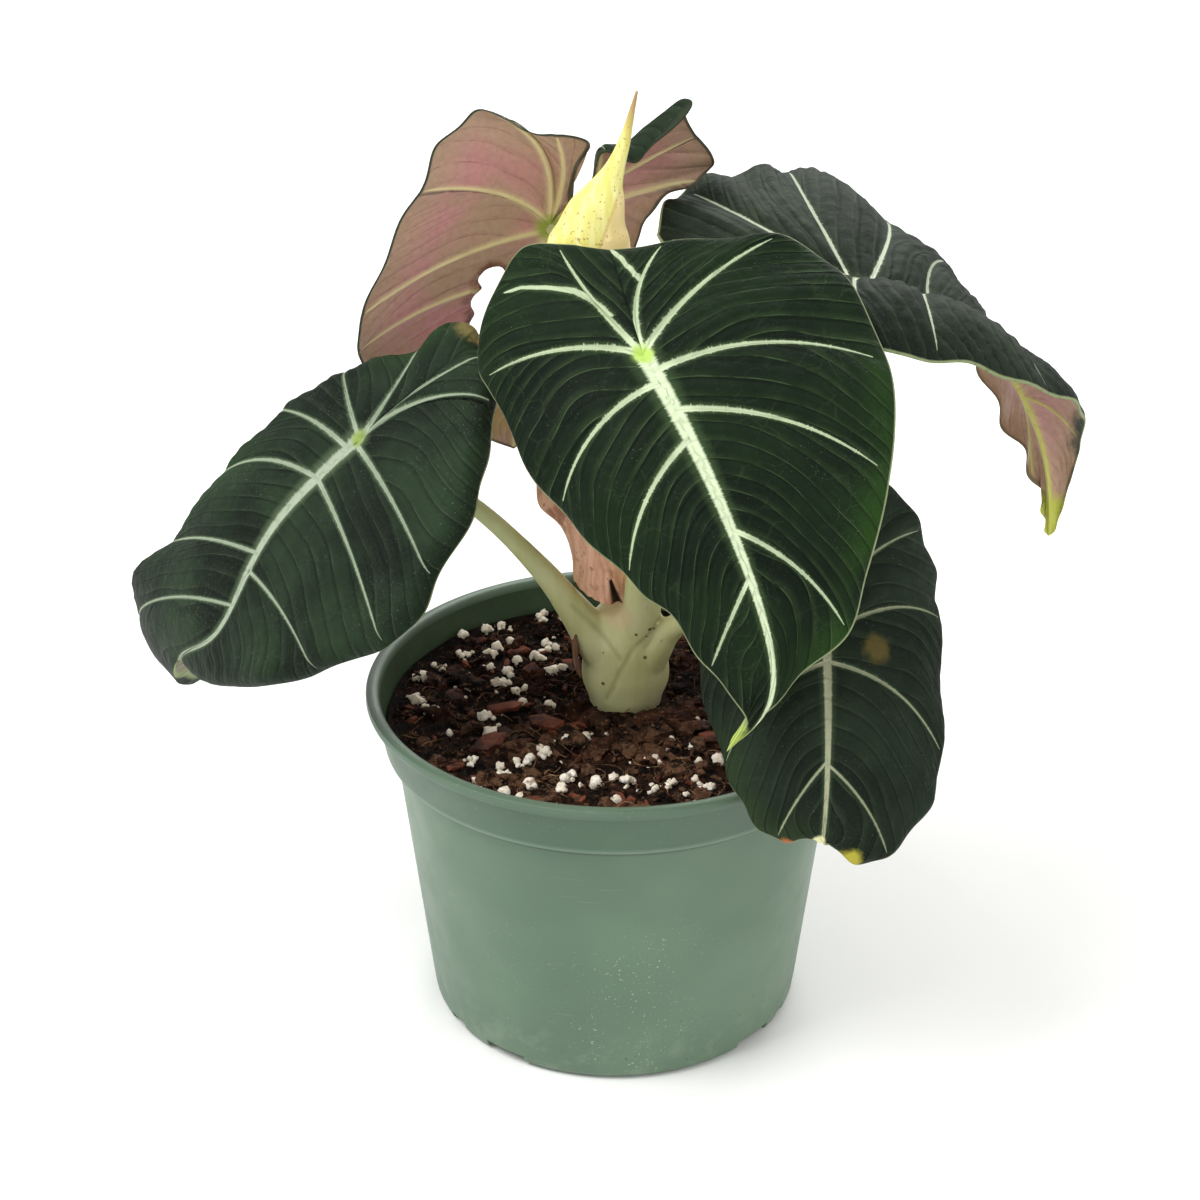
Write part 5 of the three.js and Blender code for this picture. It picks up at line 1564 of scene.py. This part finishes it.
def inner_finish():
    inside = Finish("inside of the pot", {"Specular IOR Level": 0.3})
    inside.base(inside.patches(30, 4, 0.6, 0.35, 0.65), (54, 74, 52), (66, 88, 64))
    inside.lay((70, 56, 42), inside.patches(110, 5, 0.7, 0.55, 0.7), 0.6)
    return inside.done(inside.noise(300, 3, 0.5), 0.12, 0.4)


def faces_inwards(face):
    x, y, z = face.center / MM
    in_reach = INSIDE_BOTTOM < z < INSIDE_TOP and math.hypot(x, y) < INSIDE_RADIUS
    return in_reach and face.center.length > INSIDE_MIDDLE * MM and x * face.normal.x + y * face.normal.y < 0


pot.data.materials.append(inner_finish())
inner_faces = [face for face in pot.data.polygons if faces_inwards(face)]
for face in inner_faces:
    face.material_index = 1
print("inner pot faces:", len(inner_faces))


# %% [markdown]
# Wet bark and peat are dark, with red-brown chips and pale fibres, and painted light makes them lighter
# towards the front.
# Perlite is white but dirty in its pits, so its colour follows small noise.

# %% Soil finishes
def soil_finish(name, dark, brown, light):
    peat = Finish(name, {"Roughness": 0.85, "Specular IOR Level": 0.1})
    peat.base(peat.patches(150, 5, 0.75, 0.46, 0.62), dark, brown)
    peat.lay(light, peat.patches(460, 4, 0.75, 0.55, 0.7))
    peat.lay((74, 38, 26), peat.patches(55, 2, 0.5, 0.55, 0.62), 0.35)
    # Painted light: the mix is lighter towards the front.
    peat.lay(light, peat.across("Y", 10, -45, 0, 0.55), peat.patches(190, 4, 0.7, 0.43, 0.6))
    peat.lay((176, 150, 118), peat.patches(700, 2, 0.6, 0.69, 0.73, 0, 0.6))
    return peat.done(peat.noise(480, 5, 0.8), 1.0, 2.5)


def stone_finish():
    grain = Finish("perlite", {"Roughness": 0.8})
    grain.base(grain.patches(500, 4, 0.7, 0.4, 0.7), (236, 223, 200), (255, 252, 243))
    grain.lay((128, 92, 66), grain.patches(220, 4, 0.65, 0.56, 0.66, 0, 0.75))
    return grain.done(grain.noise(700, 4, 0.7), 0.9, 1.2)


def bark_finish():
    chip = Finish("bark chips", {"Roughness": 0.7, "Specular IOR Level": 0.12})
    chip.base(chip.patches(90, 4, 0.6, 0.4, 0.65), (42, 22, 14), (118, 64, 44))
    chip.lay((138, 96, 70), chip.patches(400, 3, 0.7, 0.6, 0.78, stretch=(1, 5, 1)))
    return chip.done(chip.noise(500, 4, 0.7, stretch=(1, 4, 1)), 0.7, 0.8)


ground.data.materials.append(soil_finish("peat", (12, 8, 6), (38, 24, 17), (76, 52, 38)))
clods.data.materials.append(soil_finish("peat clods", (20, 12, 8), (74, 47, 32), (146, 108, 80)))
fibres.data.materials.append(soil_finish("coir fibres", (88, 58, 40), (136, 100, 72), (190, 156, 122)))
perlite.data.materials.append(stone_finish())
bark.data.materials.append(bark_finish())
print("soil finishes:", [piece.active_material.name for piece in (ground, clods, fibres, perlite, bark)])


# %% [markdown]
# Living stems are pale green, paler at the crown, with faint lengthwise streaks and a few brown dots.
# A little light passes through them. The scars on the crown are laid where the photograph shows them.

# %% Stems
SCAR = (70, 56, 30)
# Seen from the front: x, z and radius in millimetres, tint and strength
CROWN_MARKS = [(1, 141, 7, (212, 172, 138), 0.35), (-4, 116.8, 0.8, SCAR, 0.9), (9.8, 126.6, 0.8, SCAR, 0.9),
               (11.3, 137.4, 0.9, SCAR, 0.9), (6.8, 135.5, 0.7, SCAR, 0.9),
               (13.9, 138.9, 0.8, (236, 232, 180), 0.9), (12.6, 137.2, 0.6, SCAR, 0.8),
               (10.2, 134.6, 0.5, SCAR, 0.8)]


def stem_finish():
    stem = Finish("pale stems", {"Roughness": 0.45, "Subsurface Weight": 0.1, "Specular IOR Level": 0.35,
                                 "Subsurface Radius": (0.004, 0.005, 0.002)})
    stem.base(stem.patches(60, 3, 0.6, 0.35, 0.65), (188, 190, 130), (204, 204, 152))
    stem.lay((210, 214, 172), stem.patches(110, 4, 0.6, 0.38, 0.7, stretch=(3, 3, 0.2)), 0.3)
    stem.lay((166, 180, 116), stem.across("Z", 140, 200, 0, 0.4))
    stem.lay((196, 196, 150), stem.across("Z", 118, 108, 0, 0.5))
    # Painted shade: darker along the pressed creases, where one sheath laps over the next.
    stem.lay((128, 136, 80), stem.ramp(stem.attribute("crease"), 1.4, 0.1, 0, 0.3))
    stem.lay((84, 66, 38), stem.patches(420, 2, 0.5, 0.735, 0.76), 0.7)
    seen = stem.put("CombineXYZ", {"X": stem.axis("X"), "Z": stem.axis("Z")})
    for x, z, radius, tint, amount in CROWN_MARKS:
        gap = stem.distance(seen, (x * MM, 0, z * MM))
        stem.lay(tint, stem.ramp(gap, radius * MM, radius * 0.5 * MM, 0, amount))
    return stem.done(stem.noise(200, 4, 0.6, stretch=(3, 3, 0.3)), 0.15, 0.5)


crown.data.materials.append(stem_finish())
print("marks on the crown:", len(CROWN_MARKS))


# %% [markdown]
# The spathe is waxy and cream yellow. Its front flap is a little peach, with a soft shadow along the
# flap's edge and brown freckles, and the tip has dried brown.

# %% Waxy spathe
# The flap's edge starts at this x and z, leans by so much, and the peach ends at the top
FLAP_BASE, FLAP_LEAN, FLAP_TOP = (-3.4, 268), 0.36, 283


def hood_finish():
    wax = Finish("waxy spathe", {"Roughness": 0.4, "Subsurface Weight": 0.15,
                                 "Subsurface Radius": (0.004, 0.003, 0.001)})
    wax.base(wax.patches(110, 4, 0.6, 0.35, 0.7, stretch=(3, 3, 0.3)), (230, 222, 118), (246, 242, 166))
    rise = wax.minus(wax.axis("Z"), FLAP_BASE[1] * MM)
    flap_edge = wax.plus(FLAP_BASE[0] * MM, wax.times(rise, FLAP_LEAN))
    inside = wax.minus(wax.axis("X"), flap_edge)
    low = wax.across("Z", FLAP_TOP, FLAP_TOP - 7)
    wax.lay((248, 216, 166), low, wax.ramp(inside, -0.3 * MM, 0.6 * MM, 0, 0.6))
    wax.lay((196, 162, 84), low, wax.ramp(wax.math("ABSOLUTE", inside), 0.9 * MM, 0, 0, 0.45))
    wax.lay((150, 96, 70), wax.across("Z", 292, 311, 0, 0.8))
    wax.lay((150, 110, 52), wax.patches(900, 2, 0.5, 0.63, 0.68), wax.patches(60, 2, 0.5, 0.3, 0.55), 0.7)
    return wax.done(wax.noise(160, 3, 0.6, stretch=(3, 3, 0.3)), 0.2, 0.6)


hood.data.materials.append(hood_finish())
print("the flap's peach ends at", FLAP_TOP, "mm")


# %% [markdown]
# Dry skins are streaked along their length, with brown blotches and small specks. On the sheath, painted
# shade darkens the slit, wider downwards from its top, along the same line as the pressed-in shape.

# %% Dry skins
def dry_finish(name, light, dark, blotch, slit=False):
    skin = Finish(name, {"Roughness": 0.75})
    skin.base(skin.patches(110, 4, 0.6, 0.35, 0.7, stretch=(4, 4, 0.5)), light, dark)
    skin.lay(blotch, skin.patches(85, 3, 0.6, 0.54, 0.66, 0, 0.7))
    skin.lay(blotch, skin.patches(500, 2, 0.6, 0.66, 0.7, 0, 0.6))
    if slit:
        # Painted shade: the slit's opening is dark, and wider further down.
        below = skin.minus(SLIT_TOP * MM, skin.axis("Z"))
        middle = skin.plus(SLIT_X * MM, skin.times(below, SLIT_LEAN))
        gap = skin.math("ABSOLUTE", skin.minus(skin.axis("X"), middle))
        wide = skin.plus(0.4 * MM, skin.times(below, 0.11))
        inside = skin.ramp(skin.math("DIVIDE", gap, wide), 1.5, 0.6)
        skin.lay((44, 22, 16), inside, skin.ramp(below, 0, 1 * MM))
    return skin.done(skin.noise(220, 4, 0.65, stretch=(4, 4, 0.4)), 0.5, 0.8)


SALMON, BROWN = (236, 188, 158), (158, 112, 78)
sheath.data.materials.append(dry_finish("salmon sheath", SALMON, (212, 158, 128), (150, 92, 64), slit=True))
scale_skin.data.materials.append(dry_finish("brown scale", BROWN, (104, 66, 44), (70, 42, 28)))
print("dry skins:", sheath.active_material.name, "and", scale_skin.active_material.name)


# %% [markdown]
# Every new piece is tied to the frame: it rides on the one body, and the plain solid that it stands for
# is hidden.

# %% Tie the pieces to the frame
PLACES = [
    (pot, ["pot"], "pot"), (ground, ["soil"], "soil"), (perlite, [], "soil"), (bark, [], "soil"),
    (clods, [], "soil"), (fibres, [], "soil"),
    (crown, ["crown"], "crown"), (hood, ["spathe"], "spathe"), (sheath, ["dry_sheath"], "sheath"),
    (scale_skin, ["papery_scale"], "scale"),
]
PLACES += [(obj, ["blade_" + name], "blade") for name, obj in blades.items()]
for piece, nodes, slot in PLACES:
    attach(piece, "root")
    if nodes:
        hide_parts(*nodes)
print("pieces:", len(PLACES))


# %% [markdown]
# The photographer used a white sweep and large soft lights, so the ground is nearly white and the
# shadows are faint. A plane stands for the sweep, a pale world fills the shadows, and three large
# square lamps shape the leaves.

# %% Floor and light
choose()
bpy.ops.mesh.primitive_plane_add(size=6, location=(0, 0, -0.0005))
floor = bpy.context.active_object
floor.name = "floor"
sweep = Finish("white sweep", {"Roughness": 0.9, "Base Color": (0.9, 0.9, 0.89, 1)})
floor.data.materials.append(sweep.material)

world = bpy.data.worlds.new("soft room")
world.use_nodes = True
world.node_tree.nodes["Background"].inputs["Color"].default_value = (1, 1, 0.99, 1)
world.node_tree.nodes["Background"].inputs["Strength"].default_value = 0.78
bpy.context.scene.world = world


def aimed(name, data, place, forward):
    """Adds a lamp or a camera at a place, looking along a direction."""
    item = bpy.data.objects.new(name, data)
    item.location = place
    item.rotation_euler = forward.to_track_quat("-Z", "Y").to_euler()
    bpy.context.scene.collection.objects.link(item)
    return item


def soft_light(name, place, aim, size, power):
    data = bpy.data.lights.new(name, "AREA")
    data.shape, data.size, data.energy = "SQUARE", size, power
    return aimed(name, data, place, Vector(aim) - Vector(place))


lamps = [soft_light("key", (-0.8, -0.4, 1.4), (0, 0, 0.15), 0.8, 20),
         soft_light("fill", (0.9, -0.7, 0.8), (0, 0, 0.15), 0.9, 3),
         soft_light("rim", (0.3, 1.1, 1.0), (0, 0, 0.2), 0.9, 10)]
print("lamps:", [(lamp.name, lamp.data.energy) for lamp in lamps])


# %% [markdown]
# The camera stands where the photograph's perspective puts it: in front of the pot, higher than its
# leaves, and looking down at the lip.

# %% Camera
CAMERA_PLACE, CAMERA_FORWARD = (0, -0.81991, 0.57249), (-0.00543, 0.88727, -0.46122)

camera_data = bpy.data.cameras.new("camera")
camera_data.lens, camera_data.sensor_width = 85, 36
camera = aimed("camera", camera_data, CAMERA_PLACE, Vector(CAMERA_FORWARD))
bpy.context.scene.camera = camera
bpy.context.scene.view_settings.view_transform = "Standard"
print("camera looks down by", round(math.degrees(math.asin(-CAMERA_FORWARD[2])), 1), "degrees")


# %% [markdown]
